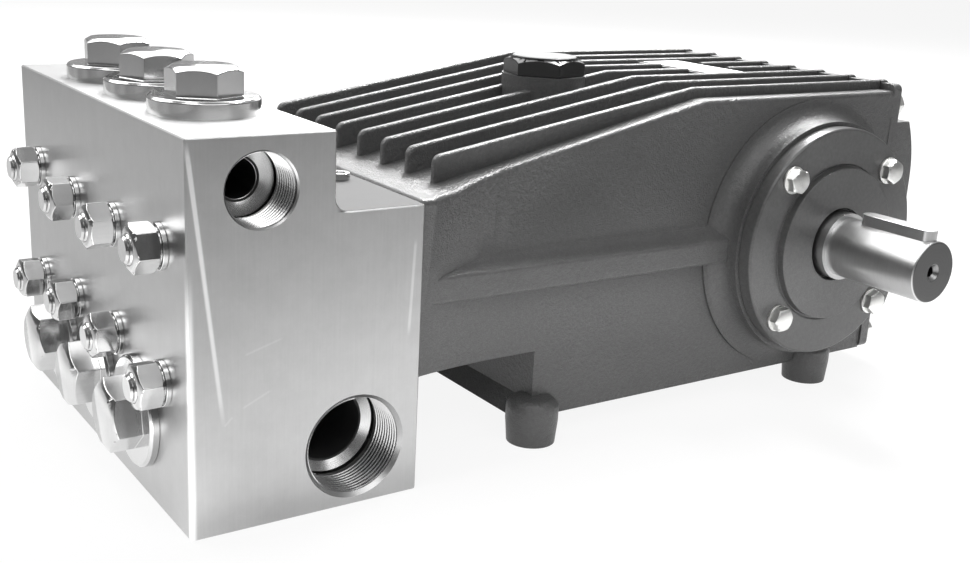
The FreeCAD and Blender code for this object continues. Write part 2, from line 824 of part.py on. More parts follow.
def make_rear_dome():
    """Raised middle of the rear cover: flat at mid-height, curving in above and below."""
    run = rear_dome_half_height - rear_dome_flat_half_height
    radius = (run ** 2 + rear_dome_bulge ** 2) / (2 * rear_dome_bulge)
    middle_angle = math.asin(run / radius) / 2
    middle_y = dome_crown_y - radius * (1 - math.cos(middle_angle))
    middle_rise = rear_dome_flat_half_height + radius * math.sin(middle_angle)
    base_y = rear_face_y - rear_cover_thickness / 2

    def point(y, rise):
        return Vector(-rear_dome_half_width, y, rear_middle_height + rise)

    base_low = point(base_y, -rear_dome_half_height)
    edge_low = point(dome_edge_y, -rear_dome_half_height)
    flat_low = point(dome_crown_y, -rear_dome_flat_half_height)
    flat_high = point(dome_crown_y, rear_dome_flat_half_height)
    edge_high = point(dome_edge_y, rear_dome_half_height)
    base_high = point(base_y, rear_dome_half_height)
    edges = [
        Part.makeLine(base_low, edge_low),
        Part.Arc(edge_low, point(middle_y, -middle_rise), flat_low).toShape(),
        Part.makeLine(flat_low, flat_high),
        Part.Arc(flat_high, point(middle_y, middle_rise), edge_high).toShape(),
        Part.makeLine(edge_high, base_high),
        Part.makeLine(base_high, base_low),
    ]
    dome = Part.Face(Part.Wire(edges)).extrude(x_axis * 2 * rear_dome_half_width)
    rim = [e for e in dome.Edges if is_dome_rim(e)]
    return dome.makeFillet(rear_dome_edge_radius, rim)


def is_dome_rim(edge):
    """Whether an edge runs round the outside of the dome's end faces or along its top or bottom."""
    box = edge.BoundBox
    along_top = box.XLength > rear_dome_half_width and abs(box.YMax - dome_edge_y) < 0.01
    on_end = box.XLength < 0.01 and box.YMin > rear_face_y + rear_dome_edge_radius
    return along_top or on_end


def make_rear_cover_bolts():
    bolts = []
    for i, place in enumerate(rear_bolt_places()):
        bolts.append(make_bolt(place, y_axis, rear_cover_thickness + rear_bolt_depth,
                               bolt_head_turn_step * i))
    return Part.Compound(bolts)


def make_level_glass():
    seat = Vector(0, glass_seat_y - level_glass_depth, rear_middle_height)
    return round_bar(seat, y_axis, level_glass_radius, level_glass_depth + level_glass_rise)


def make_level_glass_rim():
    face = Vector(0, glass_seat_y, rear_middle_height)
    ring = round_bar(face, y_axis, level_glass_radius + level_glass_rim, level_glass_rim_height)
    return ring.cut(round_bar(face, y_axis, level_glass_radius, level_glass_rim_height))


def make_filler_cap():
    """Hexagon cap with a neck in the boss and a low disc on top."""
    seat = Vector(0, crank_offset_y - filler_offset, filler_boss_height)
    cap = hexagon_bar(seat, z_axis, filler_cap_across_flats, filler_cap_hex_height,
                      filler_cap_turn, share=filler_cap_crown_share)
    neck = round_bar(seat, -z_axis, filler_neck_radius, filler_neck_depth)
    top = seat + z_axis * filler_cap_hex_height
    disc = round_bar(top, z_axis, filler_cap_disc_radius, filler_cap_disc_rise)
    return cap.fuse([neck, disc])


def make_nameplate():
    centre_y = crank_offset_y - plate_offset
    return box_between((-plate_length / 2, centre_y - plate_width / 2, plate_pad_height),
                       (plate_length / 2, centre_y + plate_width / 2,
                        plate_pad_height + plate_thickness))


def make_all():
    shapes = {
        "manifold_block": make_manifold_block(),
        "bleed_screws": make_bleed_screws(),
        "crankcase": make_crankcase(),
        "crankshaft": make_crankshaft(),
        "rear_cover": make_rear_cover(),
        "rear_cover_bolts": make_rear_cover_bolts(),
        "oil_level_glass": make_level_glass(),
        "oil_level_glass_rim": make_level_glass_rim(),
        "oil_filler_cap": make_filler_cap(),
        "nameplate": make_nameplate(),
    }
    for i, x in enumerate(plunger_x()):
        shapes[f"discharge_valve_plug_{i + 1}"] = make_discharge_plug(x, discharge_hex_turns[i])
        shapes[f"suction_valve_plug_{i + 1}"] = make_suction_plug(x, suction_hex_turns[i])
    for name, (x, z) in stud_places().items():
        row, number = name.split("_")
        shapes[f"stud_nut_{name}"] = make_stud_nut(x, z, nut_turns[row][int(number) - 1])
    for row in ("upper", "lower"):
        shapes[f"manifold_studs_{row}"] = make_studs(row)
    for side in ("right", "left"):
        shapes[f"main_bearing_{side}"] = make_main_bearing(side)
        shapes[f"bearing_cover_{side}"] = make_bearing_cover(side)
        shapes[f"shaft_seal_{side}"] = make_shaft_seal(side)
        shapes[f"cover_bolts_{side}"] = make_cover_bolts(side)
        shapes[f"shaft_key_{side}"] = make_key(side)
    return shapes


os.makedirs("parts", exist_ok=True)
for node, shape in make_all().items():
    valid = shape.isValid() and len(shape.Solids) > 0
    print(f"{node}: solids {len(shape.Solids)}, volume {shape.Volume / 1000:.1f} cm3, valid {valid}")
    shape.exportStep(f"parts/{node}.step")
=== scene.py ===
"""Looks of a three-plunger pump: stainless manifold, painted finned casting and keyed shaft.

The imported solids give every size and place. This script dresses them with smooth-edged
skins and procedural finishes, and adds the threads and turned ends that are too small for
the solids. Lengths are metres, +X runs to the right-hand shaft end and +Z is up.
"""

from __future__ import annotations

import json
import logging
import math
from collections.abc import Sequence
from dataclasses import dataclass, field
from enum import Enum

import bmesh
import bpy
from mathutils import Matrix, Vector

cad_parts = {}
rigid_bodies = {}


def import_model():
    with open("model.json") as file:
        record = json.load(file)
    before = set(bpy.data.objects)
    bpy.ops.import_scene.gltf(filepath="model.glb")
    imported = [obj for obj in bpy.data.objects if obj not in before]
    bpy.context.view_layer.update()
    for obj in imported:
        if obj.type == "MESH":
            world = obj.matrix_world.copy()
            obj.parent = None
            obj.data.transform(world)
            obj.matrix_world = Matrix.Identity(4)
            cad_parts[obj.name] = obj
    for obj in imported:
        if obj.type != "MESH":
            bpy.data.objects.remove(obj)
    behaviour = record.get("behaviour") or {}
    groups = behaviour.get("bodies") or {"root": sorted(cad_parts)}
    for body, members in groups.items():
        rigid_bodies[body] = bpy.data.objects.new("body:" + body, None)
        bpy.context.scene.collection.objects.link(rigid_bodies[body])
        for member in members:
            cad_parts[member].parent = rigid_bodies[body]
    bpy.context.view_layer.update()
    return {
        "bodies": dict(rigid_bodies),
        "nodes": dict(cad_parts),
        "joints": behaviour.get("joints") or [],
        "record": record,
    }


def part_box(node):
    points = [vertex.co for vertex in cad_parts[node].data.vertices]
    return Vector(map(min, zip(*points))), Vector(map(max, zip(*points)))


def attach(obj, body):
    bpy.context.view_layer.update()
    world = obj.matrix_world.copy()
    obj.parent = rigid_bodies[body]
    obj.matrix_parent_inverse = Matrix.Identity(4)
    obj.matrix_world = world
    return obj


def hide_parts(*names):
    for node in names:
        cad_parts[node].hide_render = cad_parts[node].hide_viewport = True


LOG = logging.getLogger("plunger_pump")
MM = 0.001
WELD = 0.001 * MM


class Slot(Enum):
    """Material slots of the record."""

    BLOCK = "satin_stainless"
    BRIGHT = "bright_steel"
    PAINT = "casing_paint"
    ZINC = "zinc_bolts"
    SHAFT = "shaft_steel"
    RUBBER = "seal_rubber"
    GLASS = "level_glass"
    CAP = "cap_plastic"
    PLATE = "plate_aluminium"


class Axis(Enum):
    """The two directions square to a turned part's axis."""

    X = ("Y", "Z")
    Y = ("X", "Z")
    Z = ("X", "Y")


class Side(Enum):
    """The two sides of the pump, by the sign of X."""

    RIGHT = 1.0
    LEFT = -1.0

    def label(self, start: str) -> str:
        """Name of a piece on this side."""
        return f"{start}_{self.name.lower()}"


class Value:
    """A shader socket that takes part in Python expressions."""

    def __init__(self, shader: Shader, socket: bpy.types.NodeSocket) -> None:
        """Wraps one output socket.

        Args:
            shader: The material whose tree holds the socket.
            socket: The output socket.
        """
        self.shader = shader
        self.socket = socket

    def _math(self, operation: str, *values: Value | float) -> Value:
        """Adds one Math node to the tree."""
        return self.shader.math(operation, *values)

    def __add__(self, other: Value | float) -> Value:
        """Sum."""
        return self._math("ADD", self, other)

    def __sub__(self, other: Value | float) -> Value:
        """Difference."""
        return self._math("SUBTRACT", self, other)

    def __rsub__(self, other: Value | float) -> Value:
        """Difference with the socket on the right."""
        return self._math("SUBTRACT", other, self)

    def __mul__(self, other: Value | float) -> Value:
        """Product."""
        return self._math("MULTIPLY", self, other)

    def __truediv__(self, other: Value | float) -> Value:
        """Quotient."""
        return self._math("DIVIDE", self, other)

    def __pow__(self, other: Value | float) -> Value:
        """Power."""
        return self._math("POWER", self, other)

    def __mod__(self, other: Value | float) -> Value:
        """Remainder that stays positive."""
        return self._math("FLOORED_MODULO", self, other)

    __radd__ = __add__
    __rmul__ = __mul__

    def swing(self, amount: float) -> Value:
        """Noise turned into a change about zero, by an amount from end to end."""
        return (self - 0.5) * amount

    def absolute(self) -> Value:
        """Size without its sign."""
        return self._math("ABSOLUTE", self)

    def least(self, other: Value | float) -> Value:
        """The smaller of two values."""
        return self._math("MINIMUM", self, other)

    def most(self, other: Value | float) -> Value:
        """The larger of two values."""
        return self._math("MAXIMUM", self, other)

    def ramp(self, start: float, end: float) -> Value:
        """Smooth step.

        Args:
            start: Input that gives 0.
            end: Input that gives 1, which may be lower than start.

        Returns:
            A value from 0 to 1.
        """
        low, high = (start, end) if start < end else (end, start)
        settings = {"interpolation_type": "SMOOTHSTEP"}
        inputs = {"Value": self, "From Min": low, "From Max": high}
        node = self.shader.node("ShaderNodeMapRange", settings, inputs)
        step = Value(self.shader, node.outputs["Result"])
        return step if start < end else 1.0 - step

    def past(self, size: float, band: tuple[float, float]) -> Value:
        """Smooth step between two distances past a size."""
        return self.ramp(size + band[0], size + band[1])


class Shader:
    """Builds the node tree of one material round a Principled shader."""

    def __init__(self, name: str) -> None:
        """Makes an empty material.

        Args:
            name: Name of the material.
        """
        self.material = bpy.data.materials.new(name)
        self.material.use_nodes = True
        self.open(self.material.node_tree, "Object")

    def open(self, tree: bpy.types.NodeTree, coordinates: str) -> None:
        """Empties a tree and starts it with the point that is shaded.

        Args:
            tree: The node tree.
            coordinates: Output of Texture Coordinate that gives the point.
        """
        self.tree = tree
        self.tree.nodes.clear()
        source = self.node("ShaderNodeTexCoord")
        self.point = Value(self, source.outputs[coordinates])
        split = self.node("ShaderNodeSeparateXYZ", {}, {"Vector": self.point})
        self.axes = {name: Value(self, split.outputs[name]) for name in "XYZ"}

    def node(self, kind: str, settings: dict | None = None,
             inputs: dict | None = None) -> bpy.types.Node:
        """Adds one node.

        Args:
            kind: Blender's type name.
            settings: Attributes of the node, set first.
            inputs: Values or links, by socket identifier, name or index.

        Returns:
            The node.
        """
        node = self.tree.nodes.new(kind)
        for key, value in (settings or {}).items():
            setattr(node, key, value)
        for key, value in (inputs or {}).items():
            socket = self.find(node, key)
            if isinstance(value, Value):
                self.tree.links.new(value.socket, socket)
            else:
                socket.default_value = value
        return node

    @staticmethod
    def find(node: bpy.types.Node, key: str | int) -> bpy.types.NodeSocket:
        """Finds an input socket.

        Args:
            node: The node.
            key: The socket's index, identifier or name.

        Returns:
            The socket.
        """
        if isinstance(key, int):
            return node.inputs[key]
        for socket in node.inputs:
            if socket.identifier == key:
                return socket
        return node.inputs[key]

    def math(self, operation: str, *values: Value | float) -> Value:
        """Adds one Math node.

        Args:
            operation: Its operation.
            values: Its inputs in order.

        Returns:
            The result.
        """
        node = self.node("ShaderNodeMath", {"operation": operation}, dict(enumerate(values)))
        return Value(self, node.outputs[0])

    def vector(self, x: Value | float, y: Value | float, z: Value | float) -> Value:
        """Joins three values into a vector."""
        node = self.node("ShaderNodeCombineXYZ", {}, {"X": x, "Y": y, "Z": z})
        return Value(self, node.outputs[0])

    def stretched(self, x: float, y: float, z: float) -> Value:
        """The surface point with each axis multiplied.

        Args:
            x: Factor along X.
            y: Factor along Y.
            z: Factor along Z.

        Returns:
            The stretched point.
        """
        node = self.node("ShaderNodeVectorMath", {"operation": "MULTIPLY"},
                         {0: self.point, 1: (x, y, z)})
        return Value(self, node.outputs[0])

    def noise(self, scale: float, detail: float = 2.0, rough: float = 0.5,
              place: Value | None = None) -> Value:
        """Grey noise about 0.5.

        Args:
            scale: Lumps in one metre.
            detail: Octaves.
            rough: How strong the finer octaves are.
            place: Point that is read, the surface point if none is given.

        Returns:
            The noise value.
        """
        inputs = {"Vector": place or self.point, "Scale": scale, "Detail": detail,
                  "Roughness": rough}
        node = self.node("ShaderNodeTexNoise", {}, inputs)
        return Value(self, node.outputs[0])

    def cells(self, scale: float) -> Value:
        """Distance to the nearest of a scatter of points, for pits and specks."""
        node = self.node("ShaderNodeTexVoronoi", {}, {"Vector": self.point, "Scale": scale})
        return Value(self, node.outputs["Distance"])

    def rings(self, radius: Value, per_metre: float) -> Value:
        """Fine lathe rings at a distance from the turning axis."""
        return self.noise(per_metre, detail=1.0, place=self.vector(radius, 0.0, 0.0))

    def length(self, *parts: Value) -> Value:
        """Root of the sum of the squares.

        Args:
            parts: The values to square.

        Returns:
            The root.
        """
        total = parts[0] * parts[0]
        for part in parts[1:]:
            total = total + part * part
        return total ** 0.5

    def radius(self, axis: Axis, centre: tuple[Value | float, Value | float]) -> Value:
        """Distance of the surface point from a line along one axis.

        Args:
            axis: Direction of the line.
            centre: Where it crosses the plane square to it.

        Returns:
            The distance.
        """
        first, second = axis.value
        return self.length(self.axes[first] - centre[0], self.axes[second] - centre[1])

    def blend(self, factor: Value, low: float | Value, high: float | Value) -> Value:
        """Mixes two numbers by a factor from 0 to 1."""
        return factor * (high - low) + low

    def grey(self, value: Value, tint: tuple[float, float, float] = (1, 1, 1)) -> Value:
        """Turns a number into a colour of one hue.

        Args:
            value: How bright the colour is.
            tint: Shares of red, green and blue.

        Returns:
            The colour.
        """
        node = self.node("ShaderNodeCombineColor", {}, {
            "Red": value * tint[0], "Green": value * tint[1], "Blue": value * tint[2]})
        return Value(self, node.outputs[0])

    def bump(self, height: Value, depth: float, strength: float = 1.0) -> Value:
        """Turns a height into a normal.

        Args:
            height: Height from 0 to 1.
            depth: What a height of 1 stands for, in metres.
            strength: How much of it shows.

        Returns:
            The normal.
        """
        inputs = {"Height": height, "Distance": depth, "Strength": strength}
        node = self.node("ShaderNodeBump", {}, inputs)
        return Value(self, node.outputs[0])

    def finish(self, **sockets: Value | float | tuple) -> bpy.types.Material:
        """Adds the Principled shader and the output.

        Args:
            sockets: Inputs of the shader, with _ for a space in their names.

        Returns:
            The material.
        """
        inputs = {key.replace("_", " "): value for key, value in sockets.items()}
        principled = self.node("ShaderNodeBsdfPrincipled", {}, inputs)
        output = self.node("ShaderNodeOutputMaterial")
        self.tree.links.new(principled.outputs[0], output.inputs["Surface"])
        return self.material


@dataclass(frozen=True)
class Port:
    """Sizes of one kind of port: its axis, thread and the gallery behind it."""

    kind: str
    y: float
    z: float
    radius: float
    length: float
    gallery: float


@dataclass(frozen=True)
class Streak:
    """Thin lighter line painted on the block's right-hand face; the first one listed is a painted
    reflection.

    Its ends are given behind the front face and above the floor.
    """

    start: tuple[float, float]
    end: tuple[float, float]
    half_width: float
    gain: float
    fade: float = 0.0
    core: float = 0.2
    start_band: tuple[float, float] = (-0.02, 0.08)
    end_band: tuple[float, float] = (1.02, 0.86)


@dataclass(frozen=True)
class SatinStainless:
    """Ground faces of the manifold block, with painted shade and a rougher finish in its drilled
    galleries and relief grooves, painted shade on its low shoulder, painted highlights on its top
    face and front right edge, and thin lighter lines on its right-hand face, the first a painted
    reflection.
    """

    ports: tuple[Port, ...]
    face_x: float
    front_y: float
    top_z: float
    notch_from_front: float = 69.0 * MM
    notch_depth: float = 36.5 * MM
    tone: float = 0.49
    cloud_tone: float = 0.11
    grain_tone: float = 0.05
    mottle_tone: float = 0.10
    top_highlight_tone: float = 0.38
    edge_highlight_tone: float = 0.45
    shoulder_shade: float = 0.74
    hollow_shade: float = 0.70
    brightest: float = 0.97
    roughness: float = 0.33
    cloud_roughness: float = 0.08
    mottle_roughness: float = 0.06
    top_roughness: float = 0.05
    shoulder_roughness: float = 0.42
    hollow_roughness: float = 0.65
    grain_per_metre: float = 1100.0
    grain_depth: float = 0.01 * MM
    cloud_per_metre: float = 11.0
    mottle_per_metre: float = 90.0
    step: float = 0.3 * MM
    notch_blend: float = 4.0 * MM
    gallery_band: tuple[float, float] = (0.6 * MM, 0.1 * MM)
    groove_start: tuple[float, float] = (0.1 * MM, 0.3 * MM)
    groove_band: tuple[float, float] = (3.0 * MM, 2.5 * MM)
    face_band: tuple[float, float] = (-2.0 * MM, -1.0 * MM)
    top_highlight_band: tuple[float, float] = (-80.0 * MM, 90.0 * MM)
    edge_highlight_band: tuple[float, float] = (130.0 * MM, 95.0 * MM)
    edge_highlight_width: tuple[float, float] = (3.4 * MM, 1.2 * MM)
    rubs: tuple[Streak, ...] = (
        # painted reflection of a bright strip, down the front of the right-hand face
        Streak((0.8 * MM, 177.5 * MM), (16.0 * MM, 50.0 * MM), 1.5 * MM, 0.80, 0.85),
        Streak((110.5 * MM, 127.0 * MM), (108.2 * MM, 80.0 * MM), 1.2 * MM, 0.144),
        Streak((25.5 * MM, 83.5 * MM), (44.0 * MM, 89.0 * MM), 0.8 * MM, 0.05),
        Streak((24.5 * MM, 59.0 * MM), (38.5 * MM, 65.5 * MM), 0.8 * MM, 0.05),
        Streak((16.0 * MM, 52.0 * MM), (20.0 * MM, 56.0 * MM), 0.8 * MM, 0.05),
    )

    def build(self) -> bpy.types.Material:
        """Makes the material.

        Returns:
            The material.
        """
        shader = Shader("satin_stainless")
        cloud = shader.noise(self.cloud_per_metre, detail=3.0)
        grain = shader.noise(self.grain_per_metre, rough=0.6, place=shader.stretched(1.0, 1.0, 0.025))
        mottle = shader.noise(self.mottle_per_metre, detail=4.0, rough=0.7)
        top, shoulder, shaded_hollow = self.top(shader), self.shoulder(shader), self.hollows(shader)
        tone = self.tone + cloud.swing(self.cloud_tone) + grain.swing(self.grain_tone)
        # the top face gets a painted highlight that grows toward its right-hand end
        tone = tone + mottle.swing(self.mottle_tone) + top * self.top_highlight_tone
        # painted highlight down the lower front right edge
        tone = tone + self.edge_highlight(shader) * self.edge_highlight_tone
        # thin lighter lines, the first a painted reflection
        for streak in self.rubs:
            tone = tone + self.streak_brightness(shader, streak)
        # painted shade on the low shoulder behind the notch
        tone = tone * (1.0 - shoulder * self.shoulder_shade)
        # painted shade in the galleries and relief grooves
        tone = (tone * (1.0 - shaded_hollow * self.hollow_shade)).least(self.brightest)
        rough = self.roughness + cloud.swing(self.cloud_roughness)
        rough = rough + mottle.swing(self.mottle_roughness)
        rough = rough + shoulder * self.shoulder_roughness
        rough = rough + self.on_top(shader) * self.top_roughness
        rough = shader.blend(shaded_hollow, rough, self.hollow_roughness)
        return shader.finish(
            Base_Color=shader.grey(tone), Roughness=rough, Metallic=1.0,
            Normal=shader.bump(grain, self.grain_depth, strength=0.25))

    def on_top(self, shader: Shader) -> Value:
        """Mask of the top face."""
        return shader.axes["Z"].ramp(self.top_z - self.step, self.top_z)

    def top(self, shader: Shader) -> Value:
        """Mask of the top face that grows toward its right-hand end, for a painted highlight."""
        return self.on_top(shader) * shader.axes["X"].ramp(*self.top_highlight_band)

    def shoulder(self, shader: Shader) -> Value:
        """Mask of the low shoulder behind the notch, where painted shade goes.

        Args:
            shader: The material being made.

        Returns:
            The mask.
        """
        notch_y = self.front_y + self.notch_from_front
        level = self.top_z - self.notch_depth
        behind = shader.axes["Y"].ramp(notch_y, notch_y + self.notch_blend)
        return behind * shader.axes["Z"].ramp(level - self.step, level)

    def hollows(self, shader: Shader) -> Value:
        """Mask of the drilled galleries and of the relief grooves behind the threads, which get
        painted shade and a rougher finish.

        Args:
            shader: The material being made.

        Returns:
            The mask.
        """
        masks = []
        depth = self.face_x - shader.axes["X"].absolute()
        for port in self.ports:
            radius = shader.radius(Axis.X, (port.y, port.z))
            gallery = radius.past(port.gallery, self.gallery_band)
            deep = depth.past(port.length, self.groove_start)
            near = radius.past(port.radius, self.groove_band)
            masks.append(gallery.most(deep * near))
        return masks[0].most(masks[1])

    def streak_brightness(self, shader: Shader, streak: Streak) -> Value:
        """Brightness that one painted line adds.

        Args:
            shader: The material being made.
            streak: The mark.

        Returns:
            The brightness, 0 away from the mark.
        """
        run_y, run_z = streak.end[0] - streak.start[0], streak.end[1] - streak.start[1]
        length = math.hypot(run_y, run_z)
        from_y = shader.axes["Y"] - (self.front_y + streak.start[0])
        from_z = shader.axes["Z"] - streak.start[1]
        along = (from_y * run_y + from_z * run_z) / length ** 2
        across = (from_y * run_z - from_z * run_y) / length
        ends = along.ramp(*streak.start_band) * along.ramp(*streak.end_band)
        on_face = shader.axes["X"].past(self.face_x, self.face_band)
        mark = across.absolute().ramp(streak.half_width, streak.half_width * streak.core) * ends * on_face
        return mark * (1.0 - along * streak.fade) * streak.gain

    def edge_highlight(self, shader: Shader) -> Value:
        """Mask of the painted highlight down the lower part of the front right edge.

        Args:
            shader: The material being made.

        Returns:
            The mask.
        """
        beside = (shader.axes["X"] - self.face_x).absolute()
        ahead = (shader.axes["Y"] - self.front_y).absolute()
        # mask of the painted highlight along the lower front right edge
        worn = beside.most(ahead).ramp(*self.edge_highlight_width)
        return worn * shader.axes["Z"].ramp(*self.edge_highlight_band)


@dataclass(frozen=True)
class TurnedSteel:
    """Bright steel with the fine rings that a lathe leaves round an axis."""

    name: str
    axis: Axis
    centre: tuple[float, float]
    pitch: float = 0.0
    tone: float = 0.60
    ring_tone: float = 0.12
    wear_tone: float = 0.10
    roughness: float = 0.16
    wear_roughness: float = 0.14
    mark_roughness: float = 0.08
    rings_per_metre: float = 2600.0
    wear_per_metre: float = 160.0
    marks_per_metre: float = 620.0
    ring_share: float = 0.8
    mark_share: float = 0.2
    ring_depth: float = 0.02 * MM

    def build(self) -> bpy.types.Material:
        """Makes the material.

        Returns:
            The material.
        """
        shader = Shader(self.name)
        rings = shader.rings(self.ring_radius(shader), self.rings_per_metre)
        wear = shader.noise(self.wear_per_metre, detail=4.0, rough=0.6)
        marks = shader.noise(self.marks_per_metre, rough=0.7)
        tone = self.tone + rings.swing(self.ring_tone) + wear.swing(self.wear_tone)
        rough = self.roughness + wear.swing(self.wear_roughness)
        rough = rough + marks.swing(self.mark_roughness)
        height = rings * self.ring_share + marks * self.mark_share
        return shader.finish(
            Base_Color=shader.grey(tone), Roughness=rough, Metallic=1.0,
            Normal=shader.bump(height, self.ring_depth, strength=0.5))

    def ring_radius(self, shader: Shader) -> Value:
        """Distance from the turning axis, or from the nearest of a row of axes along X.

        Args:
            shader: The material being made.

        Returns:
            The distance.
        """
        if not self.pitch:
            return shader.radius(self.axis, self.centre)
        first, second = self.axis.value
        offset = (shader.axes[first] - self.centre[0] + self.pitch / 2) % self.pitch
        return shader.length(offset - self.pitch / 2, shader.axes[second] - self.centre[1])


@dataclass(frozen=True)
class CastPaint:
    """Semi-gloss dark grey paint over a sand casting, lighter toward the floor with speckled painted
    light from the white floor.
    """

    name: str
    tone: float = 0.066
    broad_tone: float = 0.03
    lump_tone: float = 0.05
    pit_shade: float = 0.35
    painted_floor_light: float = 0.076
    floor_light_even: float = 0.65
    floor_light_speckle: float = 0.6
    speckle_band: tuple[float, float] = (0.40, 0.70)
    wall_band: tuple[float, float] = (140.0 * MM, 30.0 * MM)
    sump_band: tuple[float, float] = (40.0 * MM, 75.0 * MM)
    foot_share: float = 0.35
    roughness: float = 0.31
    lump_roughness: float = 0.05
    low_roughness: float = 0.12
    lump_depth: float = 1.3 * MM
    lumps_per_metre: float = 460.0
    peel_per_metre: float = 1300.0
    broad_per_metre: float = 14.0
    pits_per_metre: float = 380.0
    pit_band: tuple[float, float] = (0.12, 0.05)
    lump_share: float = 0.8
    pit_share: float = 0.05
    peel_share: float = 0.45
    smoothest: float = 0.45
    coarse_gain: float = 0.9
    coarse_band: tuple[float, float] = (0.45, 0.62)
    rings_per_metre: float = 1500.0
    ring_share: float = 0.25
    turned_share: float = 0.6
    turning_centre: tuple[float, float] | None = None

    def build(self) -> bpy.types.Material:
        """Makes the material.

        Returns:
            The material.
        """
        shader = Shader(self.name)
        lumps = shader.noise(self.lumps_per_metre, detail=3.0, rough=0.55)
        peel = shader.noise(self.peel_per_metre)
        broad = shader.noise(self.broad_per_metre)
        pits = shader.cells(self.pits_per_metre).ramp(*self.pit_band)
        low = self.low_down(shader)
        tone = self.tone + broad.swing(self.broad_tone) + lumps.swing(self.lump_tone)
        speckled = self.floor_light_even + peel.ramp(*self.speckle_band) * self.floor_light_speckle
        # painted light from the white floor, broken into speckles
        tone = tone + low * speckled * self.painted_floor_light
        tone = tone * (1.0 - pits * self.pit_shade)
        rough = self.roughness + lumps.swing(self.lump_roughness) + low * self.low_roughness
        coarse = self.smoothest + broad.ramp(*self.coarse_band) * self.coarse_gain
        height = (lumps * self.lump_share - pits * self.pit_share) * coarse
        height = height + peel * self.peel_share
        if self.turning_centre:
            radius = shader.radius(Axis.X, self.turning_centre)
            rings = shader.rings(radius, self.rings_per_metre)
            height = height * self.turned_share + rings * self.ring_share
        return shader.finish(
            Base_Color=shader.grey(tone), Roughness=rough, IOR=1.6,
            Normal=shader.bump(height, self.lump_depth, strength=0.6))

    def low_down(self, shader: Shader) -> Value:
        """Share of painted floor light: none high up, most low on the walls and less on the feet.

        Args:
            shader: The material being made.

        Returns:
            A value from 0 to 1.
        """
        walls = shader.axes["Z"].ramp(*self.wall_band)
        above_sump = shader.axes["Z"].ramp(*self.sump_band)
        return walls * (self.foot_share + above_sump * (1 - self.foot_share))


@dataclass(frozen=True)
class GroundSteel:
    """Ground shaft: satin, with fine lines round it and duller end faces darkened with painted shade.
    """

    centre: tuple[float, float]
    end_x: float
    tone: float = 0.60
    line_tone: float = 0.10
    wear_tone: float = 0.08
    end_shade_tone: float = 0.12
    end_ring_tone: float = 0.07
    roughness: float = 0.33
    wear_roughness: float = 0.03
    end_roughness: float = 0.42
    end_band: tuple[float, float] = (-0.4 * MM, -0.2 * MM)
    lines_per_metre: float = 2400.0
    wear_per_metre: float = 120.0
    rings_per_metre: float = 2200.0
    line_depth: float = 0.04 * MM

    def build(self) -> bpy.types.Material:
        """Makes the material.

        Returns:
            The material.
        """
        shader = Shader("shaft_steel")
        lines = shader.noise(self.lines_per_metre, rough=0.6, place=shader.stretched(1.0, 0.02, 0.02))
        wear = shader.noise(self.wear_per_metre, detail=4.0, rough=0.6)
        rings = shader.rings(shader.radius(Axis.X, self.centre), self.rings_per_metre)
        reach = shader.axes["X"].absolute()
        end_face = reach.past(self.end_x, self.end_band)
        side = self.tone + lines.swing(self.line_tone) + wear.swing(self.wear_tone)
        # the end faces get a darker tone: painted shade
        tone = shader.blend(end_face, side, self.end_shade_tone + rings * self.end_ring_tone)
        worn = self.roughness + wear.swing(self.wear_roughness)
        rough = shader.blend(end_face, worn, self.end_roughness)
        return shader.finish(
            Base_Color=shader.grey(tone), Roughness=rough, Metallic=1.0,
            Normal=shader.bump(lines * (1.0 - end_face), self.line_depth, strength=0.7))


@dataclass(frozen=True)
class ZincPlate:
    """Bright zinc plate with a frosted, slightly hammered surface."""

    tone: float = 0.84
    frost_tone: float = 0.26
    stain_tone: float = 0.20
    roughness: float = 0.36
    frost_roughness: float = 0.16
    frost_per_metre: float = 1500.0
    stain_per_metre: float = 240.0
    frost_depth: float = 0.08 * MM

    def build(self) -> bpy.types.Material:
        """Makes the material.

        Returns:
            The material.
        """
        shader = Shader("zinc_bolts")
        frost = shader.noise(self.frost_per_metre, detail=3.0, rough=0.7)
        stain = shader.noise(self.stain_per_metre, detail=3.0, rough=0.6)
        tone = self.tone + frost.swing(self.frost_tone) + stain.swing(self.stain_tone)
        rough = self.roughness + frost.swing(self.frost_roughness)
        return shader.finish(
            Base_Color=shader.grey(tone, (1.0, 1.0, 0.98)), Roughness=rough, Metallic=1.0,
            Normal=shader.bump(frost, self.frost_depth, strength=0.5))


@dataclass(frozen=True)
class MouldedPlastic:
    """Gloss black plastic with faint moulding waves and a dull top face painted paler as a painted
    reflection.
    """

    name: str
    face_z: float
    top_reflection_tone: float = 0.16
    face_roughness: float = 0.45
    tone: float = 0.018
    fine_tone: float = 0.006
    roughness: float = 0.22
    wave_roughness: float = 0.10
    fine_roughness: float = 0.05
    face_band: tuple[float, float] = (-0.6 * MM, -0.2 * MM)
    waves_per_metre: float = 140.0
    fine_per_metre: float = 1800.0
    wave_share: float = 0.6
    fine_share: float = 0.1
    wave_depth: float = 0.1 * MM

    def build(self) -> bpy.types.Material:
        """Makes the material.

        Returns:
            The material.
        """
        shader = Shader(self.name)
        wave = shader.noise(self.waves_per_metre)
        fine = shader.noise(self.fine_per_metre, rough=0.6)
        face = shader.axes["Z"].past(self.face_z, self.face_band)
        # the top face gets a paler tone: a painted reflection
        tone = shader.blend(face, self.tone + fine.swing(self.fine_tone), self.top_reflection_tone)
        rough = self.roughness + wave.swing(self.wave_roughness)
        rough = rough + fine.swing(self.fine_roughness) + face * self.face_roughness
        height = wave * self.wave_share + fine * self.fine_share
        return shader.finish(
            Base_Color=shader.grey(tone), Roughness=rough, IOR=1.5,
            Normal=shader.bump(height, self.wave_depth, strength=0.3))


